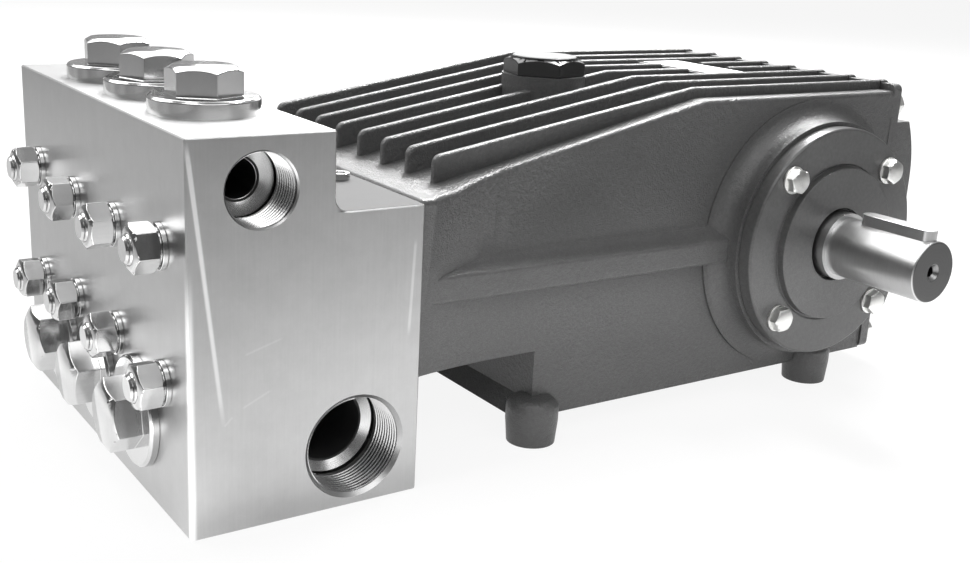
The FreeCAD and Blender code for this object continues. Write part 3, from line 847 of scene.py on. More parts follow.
@dataclass(frozen=True)
class SealRubber:
    """Black lip-seal rubber, oily in patches."""

    tone: float = 0.016
    fine_tone: float = 0.008
    roughness: float = 0.50
    fine_roughness: float = 0.25
    fine_per_metre: float = 900.0
    fine_depth: float = 0.08 * MM

    def build(self) -> bpy.types.Material:
        """Makes the material.

        Returns:
            The material.
        """
        shader = Shader("seal_rubber")
        fine = shader.noise(self.fine_per_metre, detail=3.0, rough=0.6)
        tone = self.tone + fine.swing(self.fine_tone)
        rough = self.roughness + fine.swing(self.fine_roughness)
        return shader.finish(Base_Color=shader.grey(tone), Roughness=rough,
                             Normal=shader.bump(fine, self.fine_depth, strength=0.5))


@dataclass(frozen=True)
class SightGlass:
    """Thick glass over a half-full oil chamber: amber below the oil line."""

    oil_line: float
    empty: tuple[float, float, float] = (0.34, 0.35, 0.33)
    oil: tuple[float, float, float] = (0.20, 0.115, 0.035)
    haze_tone: float = 0.04
    roughness: float = 0.06
    haze_roughness: float = 0.04
    haze_per_metre: float = 60.0
    oil_band: tuple[float, float] = (0.3 * MM, -0.3 * MM)

    def build(self) -> bpy.types.Material:
        """Makes the material.

        Returns:
            The material.
        """
        shader = Shader("level_glass")
        below = shader.axes["Z"].past(self.oil_line, self.oil_band)
        haze = shader.noise(self.haze_per_metre)
        red, green, blue = (shader.blend(below, clear, amber)
                            for clear, amber in zip(self.empty, self.oil))
        inputs = {"Red": red + haze.swing(self.haze_tone), "Green": green, "Blue": blue}
        colour = Value(shader, shader.node("ShaderNodeCombineColor", {}, inputs).outputs[0])
        rough = self.roughness + haze * self.haze_roughness
        return shader.finish(Base_Color=colour, Roughness=rough, IOR=1.5, Coat_Weight=1.0,
                             Coat_Roughness=0.03)


@dataclass(frozen=True)
class PlateAluminium:
    """Bare satin plate, rolled along X."""

    tone: float = 0.80
    rolled_tone: float = 0.10
    cloud_tone: float = 0.06
    roughness: float = 0.34
    cloud_roughness: float = 0.12
    lines_per_metre: float = 1600.0
    cloud_per_metre: float = 60.0
    rolled_depth: float = 0.02 * MM

    def build(self) -> bpy.types.Material:
        """Makes the material.

        Returns:
            The material.
        """
        shader = Shader("plate_aluminium")
        rolled = shader.noise(self.lines_per_metre, rough=0.6, place=shader.stretched(0.02, 1.0, 1.0))
        cloud = shader.noise(self.cloud_per_metre, detail=3.0)
        tone = self.tone + rolled.swing(self.rolled_tone) + cloud.swing(self.cloud_tone)
        rough = self.roughness + cloud.swing(self.cloud_roughness)
        return shader.finish(Base_Color=shader.grey(tone), Roughness=rough, Metallic=1.0,
                             Normal=shader.bump(rolled, self.rolled_depth, strength=0.4))


@dataclass
class Skin:
    """A smooth-shaded copy of one solid with its edges slightly rounded."""

    node: str
    edge: float = 0.0
    segments: int = 2
    angle: float = 32.0
    flat_angle: float = 0.3

    def build(self, frame: dict) -> bpy.types.Object:
        """Copies the node's mesh, joins its triangles and rounds its edges.


        Returns:
            The finished object, which isn't riding on a body yet.
        """
        source = frame["nodes"][self.node]
        mesh = source.data.copy()
        mesh.name = f"{self.node}_skin"
        mesh.materials.clear()
        shape = bmesh.new()
        shape.from_mesh(mesh)
        bmesh.ops.remove_doubles(shape, verts=shape.verts, dist=2 * WELD)
        bmesh.ops.dissolve_limit(shape, angle_limit=math.radians(self.flat_angle),
                                 verts=shape.verts, edges=shape.edges)
        shape.to_mesh(mesh)
        shape.free()
        if mesh.has_custom_normals:
            mesh.attributes.remove(mesh.attributes["custom_normal"])
        piece = bpy.data.objects.new(f"{self.node}_skin", mesh)
        bpy.context.scene.collection.objects.link(piece)
        mesh.shade_smooth()
        mesh.set_sharp_from_angle(angle=math.radians(self.angle))
        if self.edge:
            self.round_edges(piece)
        return piece

    def round_edges(self, piece: bpy.types.Object) -> None:
        """Applies a bevel to the sharp edges of a piece.

        Args:
            piece: The object, which is changed.
        """
        bevel = piece.modifiers.new("rounding", "BEVEL")
        bevel.width = self.edge
        bevel.segments = self.segments
        bevel.limit_method = "ANGLE"
        bevel.angle_limit = math.radians(self.angle)
        bevel.use_clamp_overlap = False
        bevel.harden_normals = True
        apply_modifiers(piece)


def apply_modifiers(piece: bpy.types.Object) -> None:
    """Turns a piece's modifiers into a plain mesh.

    Args:
        piece: The object whose modifiers are applied.
    """
    graph = bpy.context.evaluated_depsgraph_get()
    result = bpy.data.meshes.new_from_object(piece.evaluated_get(graph))
    result.name = piece.name
    piece.modifiers.clear()
    piece.data = result


class GeometryTree:
    """Builds a Geometry Nodes tree with named inputs."""

    def __init__(self, name: str, sizes: dict[str, float | int]) -> None:
        """Starts a tree.

        Args:
            name: Name of the tree.
            sizes: Its inputs and their values, whole numbers or lengths.
        """
        self.tree = bpy.data.node_groups.new(name, "GeometryNodeTree")
        self.sizes = dict(sizes)
        face = self.tree.interface
        face.new_socket("Points", in_out="INPUT", socket_type="NodeSocketGeometry")
        for key, value in sizes.items():
            kind = "NodeSocketInt" if isinstance(value, int) else "NodeSocketFloat"
            face.new_socket(key, in_out="INPUT", socket_type=kind)
        face.new_socket("Finish", in_out="INPUT", socket_type="NodeSocketMaterial")
        face.new_socket("Geometry", in_out="OUTPUT", socket_type="NodeSocketGeometry")
        self.entry = self.tree.nodes.new("NodeGroupInput")

    def size(self, key: str) -> bpy.types.NodeSocket:
        """Socket of a named input."""
        return self.entry.outputs[key]

    def node(self, kind: str, settings: dict | None = None,
             inputs: dict | None = None) -> bpy.types.Node:
        """Adds one node.

        Args:
            kind: Blender's type name.
            settings: Attributes of the node, set first.
            inputs: Values or sockets to link, by socket name or index.

        Returns:
            The node.
        """
        node = self.tree.nodes.new(kind)
        for key, value in (settings or {}).items():
            setattr(node, key, value)
        for key, value in (inputs or {}).items():
            socket = node.inputs[key]
            if isinstance(value, bpy.types.NodeSocket):
                self.tree.links.new(value, socket)
            else:
                socket.default_value = value
        return node

    def math(self, operation: str, *values: bpy.types.NodeSocket | float) -> bpy.types.NodeSocket:
        """Adds one Math node and returns its result."""
        node = self.node("ShaderNodeMath", {"operation": operation}, dict(enumerate(values)))
        return node.outputs[0]

    def piece(self, name: str, geometry: bpy.types.NodeSocket, finish: bpy.types.Material,
              points: Sequence[Vector] = ()) -> bpy.types.Object:
        """Ends the tree, runs it and keeps the result as a plain mesh.

        Args:
            name: Name of the new object.
            geometry: The socket that holds the whole shape.
            finish: Material of the piece.
            points: Places that the Points input holds.

        Returns:
            The object, at the origin.
        """
        real = self.node("GeometryNodeRealizeInstances", {}, {0: geometry})
        dressed = self.node("GeometryNodeSetMaterial", {}, {
            "Geometry": real.outputs[0], "Material": self.size("Finish")})
        end = self.tree.nodes.new("NodeGroupOutput")
        self.tree.links.new(dressed.outputs[0], end.inputs["Geometry"])
        mesh = bpy.data.meshes.new(name)
        mesh.from_pydata(points, [], [])
        piece = bpy.data.objects.new(name, mesh)
        bpy.context.scene.collection.objects.link(piece)
        modifier = piece.modifiers.new("shape", "NODES")
        modifier.node_group = self.tree
        values = {**self.sizes, "Finish": finish}
        for item in self.tree.interface.items_tree:
            if item.in_out == "INPUT" and item.name in values:
                modifier[item.identifier] = values[item.name]
        apply_modifiers(piece)
        return piece


@dataclass
class PortThread:
    """Helical thread inside one port, a ridge that stands in from the bore."""

    name: str
    mouth: Vector
    inward: float
    radius: float
    length: float
    pitch: float = 2.309 * MM
    depth: float = 0.9 * MM
    sunk: float = 0.05 * MM
    lead_in: float = 1.6 * MM
    steps_per_turn: int = 72

    def build(self, finish: bpy.types.Material) -> bpy.types.Object:
        """Sweeps the ridge along a helix.

        Args:
            finish: Material of the thread.

        Returns:
            The thread, in place.
        """
        run = self.length - 2 * self.lead_in
        corner_radius = self.depth / 1.5  # a triangle is 1.5 corner radii high
        tree = GeometryTree(self.name, {
            "Radius": self.radius + self.sunk, "Run": run, "Turns": run / self.pitch,
            "Steps": self.steps_per_turn, "Ridge": corner_radius})
        helix = tree.node("GeometryNodeCurveSpiral", {}, {
            "Resolution": tree.size("Steps"), "Rotations": tree.size("Turns"),
            "Start Radius": tree.size("Radius"), "End Radius": tree.size("Radius"),
            "Height": tree.size("Run")})
        upright = tree.node("GeometryNodeSetCurveNormal", {"mode": "Z_UP"},
                            {"Curve": helix.outputs[0]})
        ridge = tree.node("GeometryNodeCurvePrimitiveCircle", {"mode": "RADIUS"}, {
            "Resolution": 3, "Radius": tree.size("Ridge")})
        swept = tree.node("GeometryNodeCurveToMesh", {}, {
            "Curve": upright.outputs[0], "Profile Curve": ridge.outputs[0], "Fill Caps": True})
        start = self.mouth + Vector((self.inward * self.lead_in, 0, 0))
        placed = tree.node("GeometryNodeTransform", {}, {
            "Geometry": swept.outputs[0], "Translation": start,
            "Rotation": (0, self.inward * math.pi / 2, 0)})
        flat = tree.node("GeometryNodeSetShadeSmooth", {}, {
            0: placed.outputs[0], "Shade Smooth": False})
        piece = tree.piece(self.name, flat.outputs[0], finish)
        face_outwards(piece)
        return piece


@dataclass
class StudTips:
    """Threaded ends of the studs, standing a little out of their nuts."""

    places: list[Vector]
    radius: float
    reach: float = 1.7 * MM
    crests: int = 1
    root_depth: float = 0.5 * MM
    end_chamfer: float = 0.9 * MM
    facets: int = 40

    def build(self, finish: bpy.types.Material) -> bpy.types.Object:
        """Stacks cones into a short thread and copies it to every stud.

        Args:
            finish: Material of the tips.

        Returns:
            All tips as one object, in place.
        """
        tree = GeometryTree("stud_tips", {
            "Crests": self.crests, "Facets": self.facets, "Crest Radius": self.radius,
            "Root Radius": self.radius - self.root_depth,
            "Pitch": (self.reach - self.end_chamfer) / self.crests,
            "Chamfer": self.end_chamfer, "End Radius": self.radius - self.end_chamfer})
        half = tree.math("MULTIPLY", tree.size("Pitch"), 0.5)
        rise = self.cone(tree, "Root Radius", "Crest Radius", half)
        fall = self.cone(tree, "Crest Radius", "Root Radius", half)
        raised = self.lifted(tree, fall, half)
        crest = tree.node("GeometryNodeJoinGeometry")
        tree.tree.links.new(raised, crest.inputs[0])
        tree.tree.links.new(rise, crest.inputs[0])
        step = tree.node("ShaderNodeCombineXYZ", {}, {"Z": tree.size("Pitch")})
        line = tree.node("GeometryNodeMeshLine", {"mode": "OFFSET"}, {
            "Count": tree.size("Crests"), "Offset": step.outputs[0]})
        stack = tree.node("GeometryNodeInstanceOnPoints", {}, {
            "Points": line.outputs[0], "Instance": crest.outputs[0]})
        top = tree.math("MULTIPLY", tree.size("Pitch"), tree.size("Crests"))
        chamfer = self.lifted(tree, self.cone(tree, "Crest Radius", "End Radius",
                                              tree.size("Chamfer")), top)
        tip = tree.node("GeometryNodeJoinGeometry")
        tree.tree.links.new(chamfer, tip.inputs[0])
        tree.tree.links.new(stack.outputs[0], tip.inputs[0])
        turned = tree.node("GeometryNodeInstanceOnPoints", {}, {
            "Points": tree.size("Points"), "Instance": tip.outputs[0],
            "Rotation": (math.pi / 2, 0.0, 0.0)})
        return tree.piece("stud_tips", turned.outputs[0], finish, self.places)

    @staticmethod
    def cone(tree: GeometryTree, bottom: str, top: str,
             depth: bpy.types.NodeSocket) -> bpy.types.NodeSocket:
        """One closed cone between two named radii.

        Args:
            tree: The tree that it is added to.
            bottom: Name of the lower radius.
            top: Name of the upper radius.
            depth: Its height.

        Returns:
            Its mesh.
        """
        node = tree.node("GeometryNodeMeshCone", {}, {
            "Vertices": tree.size("Facets"), "Radius Top": tree.size(top),
            "Radius Bottom": tree.size(bottom), "Depth": depth})
        return node.outputs["Mesh"]

    @staticmethod
    def lifted(tree: GeometryTree, shape: bpy.types.NodeSocket,
               height: bpy.types.NodeSocket) -> bpy.types.NodeSocket:
        """A shape moved along its axis.

        Args:
            tree: The tree that holds it.
            shape: The shape.
            height: How far it moves.

        Returns:
            The moved shape.
        """
        move = tree.node("ShaderNodeCombineXYZ", {}, {"Z": height})
        node = tree.node("GeometryNodeTransform", {}, {
            "Geometry": shape, "Translation": move.outputs[0]})
        return node.outputs[0]


@dataclass
class TurnedRing:
    """Ring turned round a line along X, from a closed profile."""

    name: str
    centre: tuple[float, float]
    profile: list[tuple[float, float]]
    steps: int = 96
    sharp_angle: float = 30.0

    def build(self, finish: bpy.types.Material) -> bpy.types.Object:
        """Spins the profile.

        Args:
            finish: Material of the ring.

        Returns:
            The ring, in place, smooth except at its sharp corners.
        """
        y, z = self.centre
        shape = bmesh.new()
        corners = [shape.verts.new((x, y, z + radius)) for x, radius in self.profile]
        edges = [shape.edges.new((corners[i - 1], corners[i])) for i in range(len(corners))]
        bmesh.ops.spin(shape, geom=corners + edges, cent=(0.0, y, z), axis=(1.0, 0.0, 0.0),
                       angle=2 * math.pi, steps=self.steps, use_merge=True)
        bmesh.ops.remove_doubles(shape, verts=shape.verts, dist=WELD)
        bmesh.ops.recalc_face_normals(shape, faces=shape.faces)
        mesh = bpy.data.meshes.new(self.name)
        shape.to_mesh(mesh)
        shape.free()
        mesh.materials.append(finish)
        mesh.shade_smooth()
        mesh.set_sharp_from_angle(angle=math.radians(self.sharp_angle))
        piece = bpy.data.objects.new(self.name, mesh)
        bpy.context.scene.collection.objects.link(piece)
        return piece


def face_outwards(piece: bpy.types.Object) -> None:
    """Recalculates a closed piece's normals.

    Args:
        piece: The object to mend.
    """
    shape = bmesh.new()
    shape.from_mesh(piece.data)
    bmesh.ops.remove_doubles(shape, verts=shape.verts, dist=WELD)
    bmesh.ops.recalc_face_normals(shape, faces=shape.faces)
    shape.to_mesh(piece.data)
    shape.free()


@dataclass
class Workshop:
    """Puts finished pieces on their bodies."""

    frame: dict
    body_of: dict[str, str] = field(default_factory=dict)

    def __post_init__(self) -> None:
        """Reads which body each node belongs to."""
        for body, nodes in self.frame["record"]["behaviour"]["bodies"].items():
            self.body_of.update({node: body for node in nodes})

    def skin(self, node: str, finish: bpy.types.Material, slot: Slot,
             edge: float = 0.0) -> None:
        """Replaces a node with its smooth-edged copy.

        Args:
            node: Name of the node.
            finish: Material of the copy.
            slot: Record slot that the finish stands for; not used.
            edge: Width of the edge rounding, or 0 for none.
        """
        piece = Skin(node, edge).build(self.frame)
        piece.data.materials.append(finish)
        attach(piece, self.body_of[node])
        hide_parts(node)
        LOG.info("%s: %d faces", piece.name, len(piece.data.polygons))

    def dress(self, node: str, finish: bpy.types.Material) -> None:
        """Gives a node that keeps its own shape its finish.

        Args:
            node: Name of the node.
            finish: Its material.
        """
        materials = self.frame["nodes"][node].data.materials
        materials.clear()
        materials.append(finish)
        LOG.info("%s: dressed", node)

    def add(self, piece: bpy.types.Object, body: str, slot: Slot) -> None:
        """Puts a piece that has no node of its own on a body.

        Args:
            piece: The finished object.
            body: Body that it moves with.
            slot: Record slot that its finish stands for; not used.
        """
        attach(piece, body)
        LOG.info("%s: %d faces", piece.name, len(piece.data.polygons))

    def mount(self, name: str) -> dict:
        """Finds a mount of the record by its name."""
        return next(m for m in self.frame["record"]["mounts"] if m["name"] == name)

    def named(self, start: str) -> list[str]:
        """Nodes whose names begin with some words, in order."""
        return sorted(node for node in self.frame["nodes"] if node.startswith(start))


def middle(node: str) -> Vector:
    """Centre of a node's box."""
    low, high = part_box(node)
    return (low + high) / 2


@dataclass
class Manifold:
    """Stainless block with its port threads, valve plugs, stud nuts and bleed screws."""

    shop: Workshop
    edge: float = 0.35 * MM
    inlet_gallery: float = 18.0 * MM
    discharge_gallery: float = 9.2 * MM
    groove_width: float = 2.4 * MM
    seat_depth: float = 5.6 * MM
    seat_root: float = 0.3 * MM
    seat_lip: float = 0.4 * MM
    gallery_gap: float = 0.1 * MM
    stud_radius: float = 6.2 * MM
    stud_edge: float = 0.2 * MM
    stud_sunk: float = 0.2 * MM

    def build(self) -> None:
        """Builds and dresses the whole manifold."""
        low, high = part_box("manifold_block")
        ports = (self.port("inlet", self.inlet_gallery, high.x),
                 self.port("discharge", self.discharge_gallery, high.x))
        satin = SatinStainless(ports, high.x, low.y, high.z).build()
        self.shop.skin("manifold_block", satin, Slot.BLOCK)
        for port in ports:
            self.build_port(port, high.x)
        self.build_plugs()
        self.build_nuts()

    def port(self, kind: str, gallery: float, face_x: float) -> Port:
        """Reads one kind of port from the record's right-hand mount.

        Args:
            kind: First word of the mount's name.
            gallery: Radius of the gallery behind it.
            face_x: Where the block's right-hand face is.

        Returns:
            The port's sizes. Its length runs from the face to the end of the thread.
        """
        mount = self.shop.mount(f"{kind}_right")
        x, y, z = mount["pos_m"]
        half = mount["dims"]["length_mm"] * MM / 2
        return Port(kind, y, z, mount["dims"]["r_mm"] * MM, face_x - x + half, gallery)

    def build_port(self, port: Port, face_x: float) -> None:
        """Puts a thread and the seat behind it into both ends of a port.

        Args:
            port: Its sizes.
            face_x: Where the block's right-hand face is.
        """
        # the thread and seat steel is toned lighter than the plug steel: painted light inside the
        # bores
        finish = TurnedSteel(f"{port.kind}_thread_steel", Axis.X, (port.y, port.z),
                             tone=0.72, roughness=0.22).build()
        root = port.radius + self.seat_root
        for side in Side:
            mouth = Vector((side.value * face_x, port.y, port.z))
            thread = PortThread(side.label(f"{port.kind}_thread"), mouth, -side.value,
                                port.radius, port.length)
            self.shop.add(thread.build(finish), "root", Slot.BLOCK)
            near = side.value * (face_x - port.length - self.groove_width)
            far = side.value * (face_x - port.length - self.seat_depth)
            profile = [(near, root), (near, port.radius - self.seat_lip),
                       (far, port.gallery + self.gallery_gap), (far, root)]
            seat = TurnedRing(side.label(f"{port.kind}_seat"), (port.y, port.z), profile)
            self.shop.add(seat.build(finish), "root", Slot.BLOCK)

    def build_plugs(self) -> None:
        """Dresses the hexagon plugs on the top and front faces."""
        for kind, axis in (("discharge", Axis.Z), ("suction", Axis.Y)):
            plugs = self.shop.named(f"{kind}_valve_plug")
            first, second = middle(plugs[0]), middle(plugs[1])
            centre = (first.x, first.y if axis is Axis.Z else first.z)
            finish = TurnedSteel(f"{kind}_plug_steel", axis, centre,
                                 pitch=abs(second.x - first.x)).build()
            for node in plugs:
                self.shop.skin(node, finish, Slot.BRIGHT, self.edge)

    def build_nuts(self) -> None:
        """Dresses the stud nuts, the studs and the bleed screws."""
        steel = TurnedSteel("nut_steel", Axis.Y, (0.0, 0.0), rings_per_metre=400.0).build()
        for node in self.shop.named("stud_nut"):
            self.shop.skin(node, steel, Slot.BRIGHT, self.edge)
        for node in self.shop.named("manifold_studs") + ["bleed_screws"]:
            self.shop.skin(node, steel, Slot.BRIGHT, self.stud_edge)
        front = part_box("manifold_studs_upper")[0].y + self.stud_sunk
        centres = [middle(node) for node in self.shop.named("stud_nut")]
        tips = StudTips([Vector((centre.x, front, centre.z)) for centre in centres],
                        self.stud_radius)
        self.shop.add(tips.build(steel), "root", Slot.BRIGHT)


@dataclass
class Casing:
    """Painted casting with its bearing covers, rear cover, filler cap and plate."""

    shop: Workshop
    crank: tuple[float, float]
    cover_edge: float = 0.5 * MM
    bolt_edge: float = 0.3 * MM
    cap_edge: float = 0.5 * MM
    glass_edge: float = 0.3 * MM
    rim_edge: float = 0.4 * MM
    plate_edge: float = 0.2 * MM

    def build(self) -> None:
        """Builds and dresses everything on the crankcase."""
        paint = CastPaint("casing_paint").build()
        turned = CastPaint("cover_paint", lump_depth=0.2 * MM,
                           turning_centre=self.crank).build()
        zinc = ZincPlate().build()
        self.shop.skin("crankcase", paint, Slot.PAINT)
        self.shop.skin("rear_cover", paint, Slot.PAINT)
        for node in self.shop.named("bearing_cover"):
            self.shop.skin(node, turned, Slot.PAINT, self.cover_edge)
        for node in self.shop.named("cover_bolts") + ["rear_cover_bolts"]:
            self.shop.skin(node, zinc, Slot.ZINC, self.bolt_edge)
        self.build_fittings()

    def build_fittings(self) -> None:
        """Dresses the filler cap, the level glass and the plate."""
        cap = MouldedPlastic("cap_plastic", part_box("oil_filler_cap")[1].z).build()
        self.shop.skin("oil_filler_cap", cap, Slot.CAP, self.cap_edge)
        glass = SightGlass(middle("oil_level_glass").z).build()
        self.shop.skin("oil_level_glass", glass, Slot.GLASS, self.glass_edge)
        centre = middle("oil_level_glass_rim")
        rim = TurnedSteel("rim_steel", Axis.Y, (centre.x, centre.z)).build()
        self.shop.skin("oil_level_glass_rim", rim, Slot.BRIGHT, self.rim_edge)
        self.shop.skin("nameplate", PlateAluminium().build(), Slot.PLATE, self.plate_edge)


@dataclass
class Drive:
    """Crankshaft ends with their keys, seals and bearings."""

    shop: Workshop
    crank: tuple[float, float]
    shaft_edge: float = 0.15 * MM
    key_edge: float = 0.3 * MM
    seal_edge: float = 0.3 * MM
    countersink_radius: float = 4.9 * MM
    countersink_depth: float = 2.6 * MM
    drill_radius: float = 3.1 * MM
    drill_length: float = 6.0 * MM
    liner_wall: float = 0.2 * MM
    liner_set_back: float = 0.2 * MM

    def build(self) -> None:
        """Dresses everything that turns and what it turns in."""
        end_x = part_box("crankshaft")[1].x
        steel = GroundSteel(self.crank, end_x).build()
        rubber = SealRubber().build()
        self.shop.skin("crankshaft", steel, Slot.SHAFT, self.shaft_edge)
        for node in self.shop.named("shaft_key"):
            self.shop.skin(node, steel, Slot.SHAFT, self.key_edge)
        for node in self.shop.named("shaft_seal"):
            self.shop.skin(node, rubber, Slot.RUBBER, self.seal_edge)
        for node in self.shop.named("main_bearing"):
            self.shop.dress(node, steel)
        self.build_centre_holes(end_x)

    def build_centre_holes(self, end_x: float) -> None:
        """Adds the countersinks of the centre holes in both shaft ends.

        Args:
            end_x: Where the right-hand end face is.
        """
        # the countersinks get a dark tone: painted shade in the centre holes
        finish = TurnedSteel("centre_hole_steel", Axis.X, self.crank, tone=0.30,
                             roughness=0.36).build()
        outer = self.countersink_radius + self.liner_wall
        for side in Side:
            mouth = side.value * (end_x - self.liner_set_back)
            foot = side.value * (end_x - self.countersink_depth)
            inner_end = foot - side.value * self.drill_length
            profile = [(mouth, self.countersink_radius), (foot, self.drill_radius),
                       (inner_end, self.drill_radius), (inner_end, outer), (mouth, outer)]
            liner = TurnedRing(side.label("centre_hole"), self.crank, profile, 48)
            self.shop.add(liner.build(finish), "crankshaft", Slot.SHAFT)


@dataclass(frozen=True)
class Lamp:
    """One soft rectangular lamp that points at the pump."""

    name: str
    place: tuple[float, float, float]
    size: tuple[float, float]
    watts: float
    spin: float = 0.0

    def build(self, target: Vector) -> None:
        """Adds the lamp, which the camera itself doesn't see.

        Args:
            target: Point that it faces.
        """
        light = bpy.data.lights.new(self.name, "AREA")
        light.shape = "RECTANGLE"
        light.size, light.size_y = self.size
        light.energy = self.watts
        lamp = bpy.data.objects.new(self.name, light)
        bpy.context.scene.collection.objects.link(lamp)
        lamp.location = self.place
        aim = (target - Vector(self.place)).to_track_quat("-Z", "Y").to_matrix()
        lamp.rotation_euler = (aim @ Matrix.Rotation(math.radians(self.spin), 3, "Z")).to_euler()
        lamp.visible_camera = False


@dataclass(frozen=True)
class Card:
    """Bright round patch of the floor that shows in reflections only."""

    x: float
    y: float
    rim: float
    core: float
    glow: float

    def shine(self, shader: Shader) -> Value:
        """Glow that the card adds at the shaded point."""
        away = shader.length(shader.axes["X"] - self.x, shader.axes["Y"] - self.y)
        return away.ramp(self.rim, self.core) * self.glow


@dataclass(frozen=True)
class PaperFloor:
    """Pale floor that keeps a soft shadow, white to the camera and grey in reflections."""

    half: float = 6.0
    grey: float = 0.8
    white: float = 1.02
    camera_share: float = 0.88
    glossy_share: float = 0.75
    far_glow: float = 0.06
    wide_glow: float = 0.12
    near_glow: float = 1.38
    patch_glow: float = 0.25
    left_shade: float = 0.30
    patches_per_radian: float = 2.2
    patch_edge: tuple[float, float] = (0.42, 0.58)
    wide_band: tuple[float, float] = (1.8, 0.82)
    near_band: tuple[float, float] = (0.56, 0.22)
    patch_band: tuple[float, float] = (0.9, 1.5)
    left_band: tuple[float, float] = (0.165, 0.140)
    cards: tuple[Card, ...] = (
        Card(0.20, -0.42, 0.17, 0.05, 3.0),
        Card(0.02, -0.46, 0.24, 0.06, 1.2),
    )

    def build(self) -> None:
        """Lays the floor."""
        mesh = bpy.data.meshes.new("floor")
        corners = [(x * self.half, y * self.half, 0.0)
                   for x, y in ((-1, -1), (1, -1), (1, 1), (-1, 1))]
        mesh.from_pydata(corners, [], [(0, 1, 2, 3)])
        floor = bpy.data.objects.new("floor", mesh)
        bpy.context.scene.collection.objects.link(floor)
        mesh.materials.append(self.material())

    def material(self) -> bpy.types.Material:
        """Matt paper mixed with a glow, by the kind of ray that meets it.

        Returns:
            The material.
        """
        shader = Shader("floor_paper")
        path = shader.node("ShaderNodeLightPath")
        camera = Value(shader, path.outputs["Is Camera Ray"])
        glossy = Value(shader, path.outputs["Is Glossy Ray"])
        strength = camera * self.white + (1.0 - camera) * self.reflected(shader)
        share = camera.most(glossy * self.glossy_share) * self.camera_share
        paper = (self.grey, self.grey, self.grey, 1.0)
        matt = shader.node("ShaderNodeBsdfDiffuse", {}, {"Color": paper})
        glow = shader.node("ShaderNodeEmission", {}, {"Strength": strength})
        mix = shader.node("ShaderNodeMixShader", {}, {0: share})
        output = shader.node("ShaderNodeOutputMaterial")
        links = shader.tree.links
        links.new(matt.outputs[0], mix.inputs[1])
        links.new(glow.outputs[0], mix.inputs[2])
        links.new(mix.outputs[0], output.inputs["Surface"])
        return shader.material

    def reflected(self, shader: Shader) -> Value:
        """Glow in reflections: bright near the pump, with uneven patches far away.

        Args:
            shader: The material being made.

        Returns:
            The glow.
        """
        distance = shader.length(shader.axes["X"], shader.axes["Y"])
        angle = shader.math("ARCTAN2", shader.axes["Y"], shader.axes["X"])
        round_pump = shader.vector(angle, 0.0, 0.0)
        patches = shader.noise(self.patches_per_radian, detail=1.0, place=round_pump)
        patches = patches.ramp(*self.patch_edge)
        glow = self.far_glow + distance.ramp(*self.wide_band) * self.wide_glow
        glow = glow + distance.ramp(*self.near_band) * self.near_glow
        glow = glow + distance.ramp(*self.patch_band) * patches.swing(self.patch_glow)
        for card in self.cards:
            glow = glow + card.shine(shader)
        return glow * (1.0 - shader.axes["X"].ramp(*self.left_band) * self.left_shade)


class WorldShader(Shader):
    """The same helpers on a world's tree, where the point is the direction looked in."""

    def __init__(self, world: bpy.types.World) -> None:
        """Starts the world's tree.

        Args:
            world: The world whose tree is built.
        """
        self.open(world.node_tree, "Generated")

    def toward(self, x: float, y: float) -> Value:
        """How far the direction looked in points along a level one."""
        return self.axes["X"] * x + self.axes["Y"] * y


@dataclass(frozen=True)
class Room:
    """White to the camera, grey walls in reflections and a soft fill from the front."""

    camera_way: tuple[float, float] = (0.82, -0.57)
    front_way: tuple[float, float] = (0.30, -0.95)
    wall: float = 0.15
    rear_wall: float = 0.30
    ceiling: float = 0.32
    fill: float = 0.24
    front_fill: float = 0.76
    overhead_cut: float = 0.85
    wall_band: tuple[float, float] = (0.0, -0.9)
    ceiling_band: tuple[float, float] = (0.35, 0.85)
    front_band: tuple[float, float] = (-0.6, 0.6)
    overhead_band: tuple[float, float] = (0.15, 0.8)

    def build(self) -> None:
        """Makes the world."""
        world = bpy.data.worlds.new("room")
        bpy.context.scene.world = world
        world.use_nodes = True
        shader = WorldShader(world)
        path = shader.node("ShaderNodeLightPath")
        camera = Value(shader, path.outputs["Is Camera Ray"])
        diffuse = Value(shader, path.outputs["Is Diffuse Ray"])
        height = shader.axes["Z"]
        rear = shader.toward(*self.camera_way).ramp(*self.wall_band)
        front = shader.toward(*self.front_way).ramp(*self.front_band)
        overhead = height.ramp(*self.overhead_band)
        seen = self.wall + rear * self.rear_wall
        seen = seen + height.ramp(*self.ceiling_band) * self.ceiling
        fill = self.fill + front * self.front_fill
        fill = fill * (1.0 - overhead * self.overhead_cut)
        strength = camera + (1.0 - camera) * shader.blend(diffuse, seen, fill)
        background = shader.node("ShaderNodeBackground", {}, {"Strength": strength})
        output = shader.node("ShaderNodeOutputWorld")
        shader.tree.links.new(background.outputs[0], output.inputs["Surface"])


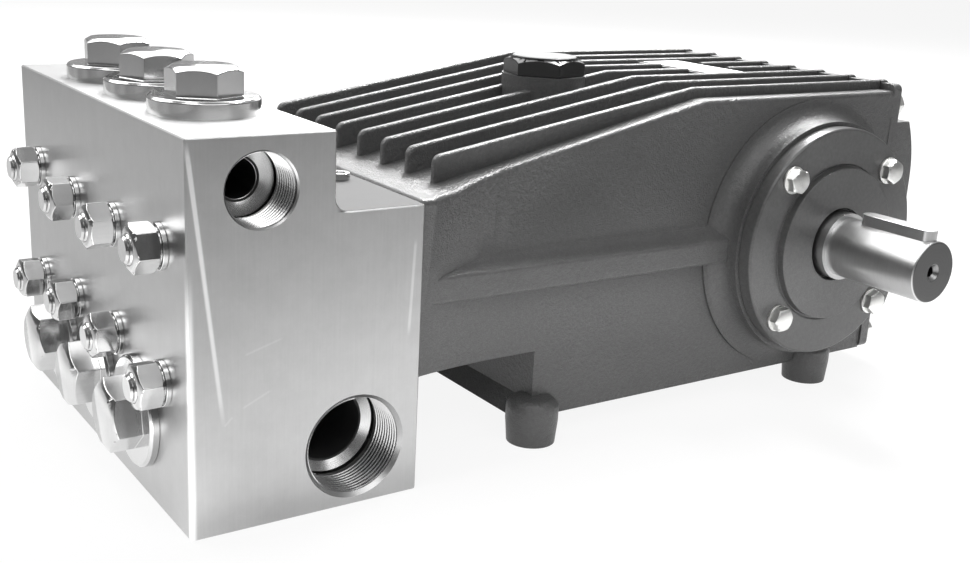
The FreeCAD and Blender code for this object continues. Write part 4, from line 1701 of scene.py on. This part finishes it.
@dataclass
class Studio:
    """White room: floor, world, lamps and the camera."""

    camera_place: tuple[float, float, float] = (0.59929, -0.48824, 0.26881)
    camera_turn: float = 55.2772
    camera_rise: float = 16.1223
    camera_roll: float = 2.9325
    lens: float = 45.94
    sensor: float = 36.0
    lamp_target: tuple[float, float, float] = (0.0, -0.05, 0.09)
    lamps: tuple[Lamp, ...] = (
        Lamp("left_rear_softbox", (-2.05, 1.47, 1.12), (2.0, 1.0), 11.0),
        Lamp("left_rear_panel", (-2.00, 1.00, 1.30), (1.0, 0.70), 10.0),
        Lamp("left_top_softbox", (-1.40, 0.02, 2.05), (1.9, 1.7), 37.0),
        Lamp("left_front_softbox", (-1.34, -1.30, 1.55), (1.4, 1.2), 20.0),
        Lamp("key_strip", (-0.74, 1.02, 1.86), (1.60, 0.46), 100.0, 132.5),
        Lamp("front_top_softbox", (0.46, -1.08, 2.26), (1.0, 0.8), 12.0),
        Lamp("right_softbox", (1.66, -0.15, 1.75), (2.0, 1.2), 16.0),
    )

    def build(self) -> None:
        """Sets the whole stage."""
        PaperFloor().build()
        Room().build()
        for lamp in self.lamps:
            lamp.build(Vector(self.lamp_target))
        self.build_camera()
        bpy.context.scene.view_settings.view_transform = "Standard"

    def build_camera(self) -> None:
        """Puts the camera where the photograph was taken."""
        turn, rise = math.radians(self.camera_turn), math.radians(self.camera_rise)
        back = Vector((math.sin(turn) * math.cos(rise), -math.cos(turn) * math.cos(rise),
                       math.sin(rise)))
        right = Vector((math.cos(turn), math.sin(turn), 0.0))
        frame = Matrix((right, back.cross(right), back)).transposed()
        roll = Matrix.Rotation(math.radians(self.camera_roll), 3, "Z")
        data = bpy.data.cameras.new("camera")
        data.lens = self.lens
        data.sensor_width = self.sensor
        camera = bpy.data.objects.new("camera", data)
        bpy.context.scene.collection.objects.link(camera)
        camera.matrix_world = Matrix.Translation(self.camera_place) @ (frame @ roll).to_4x4()
        bpy.context.scene.camera = camera


def main() -> None:
    """Builds the looks in order."""
    logging.basicConfig(level=logging.INFO, format="%(message)s")
    for item in list(bpy.data.objects):
        bpy.data.objects.remove(item)
    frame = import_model()
    shop = Workshop(frame)
    joint = next(j for j in frame["joints"] if j["name"] == "crankshaft_spin")
    crank = (joint["pos_m"][1], joint["pos_m"][2])
    Manifold(shop).build()
    Casing(shop, crank).build()
    Drive(shop, crank).build()
    Studio().build()


if __name__ == "__main__":
    main()
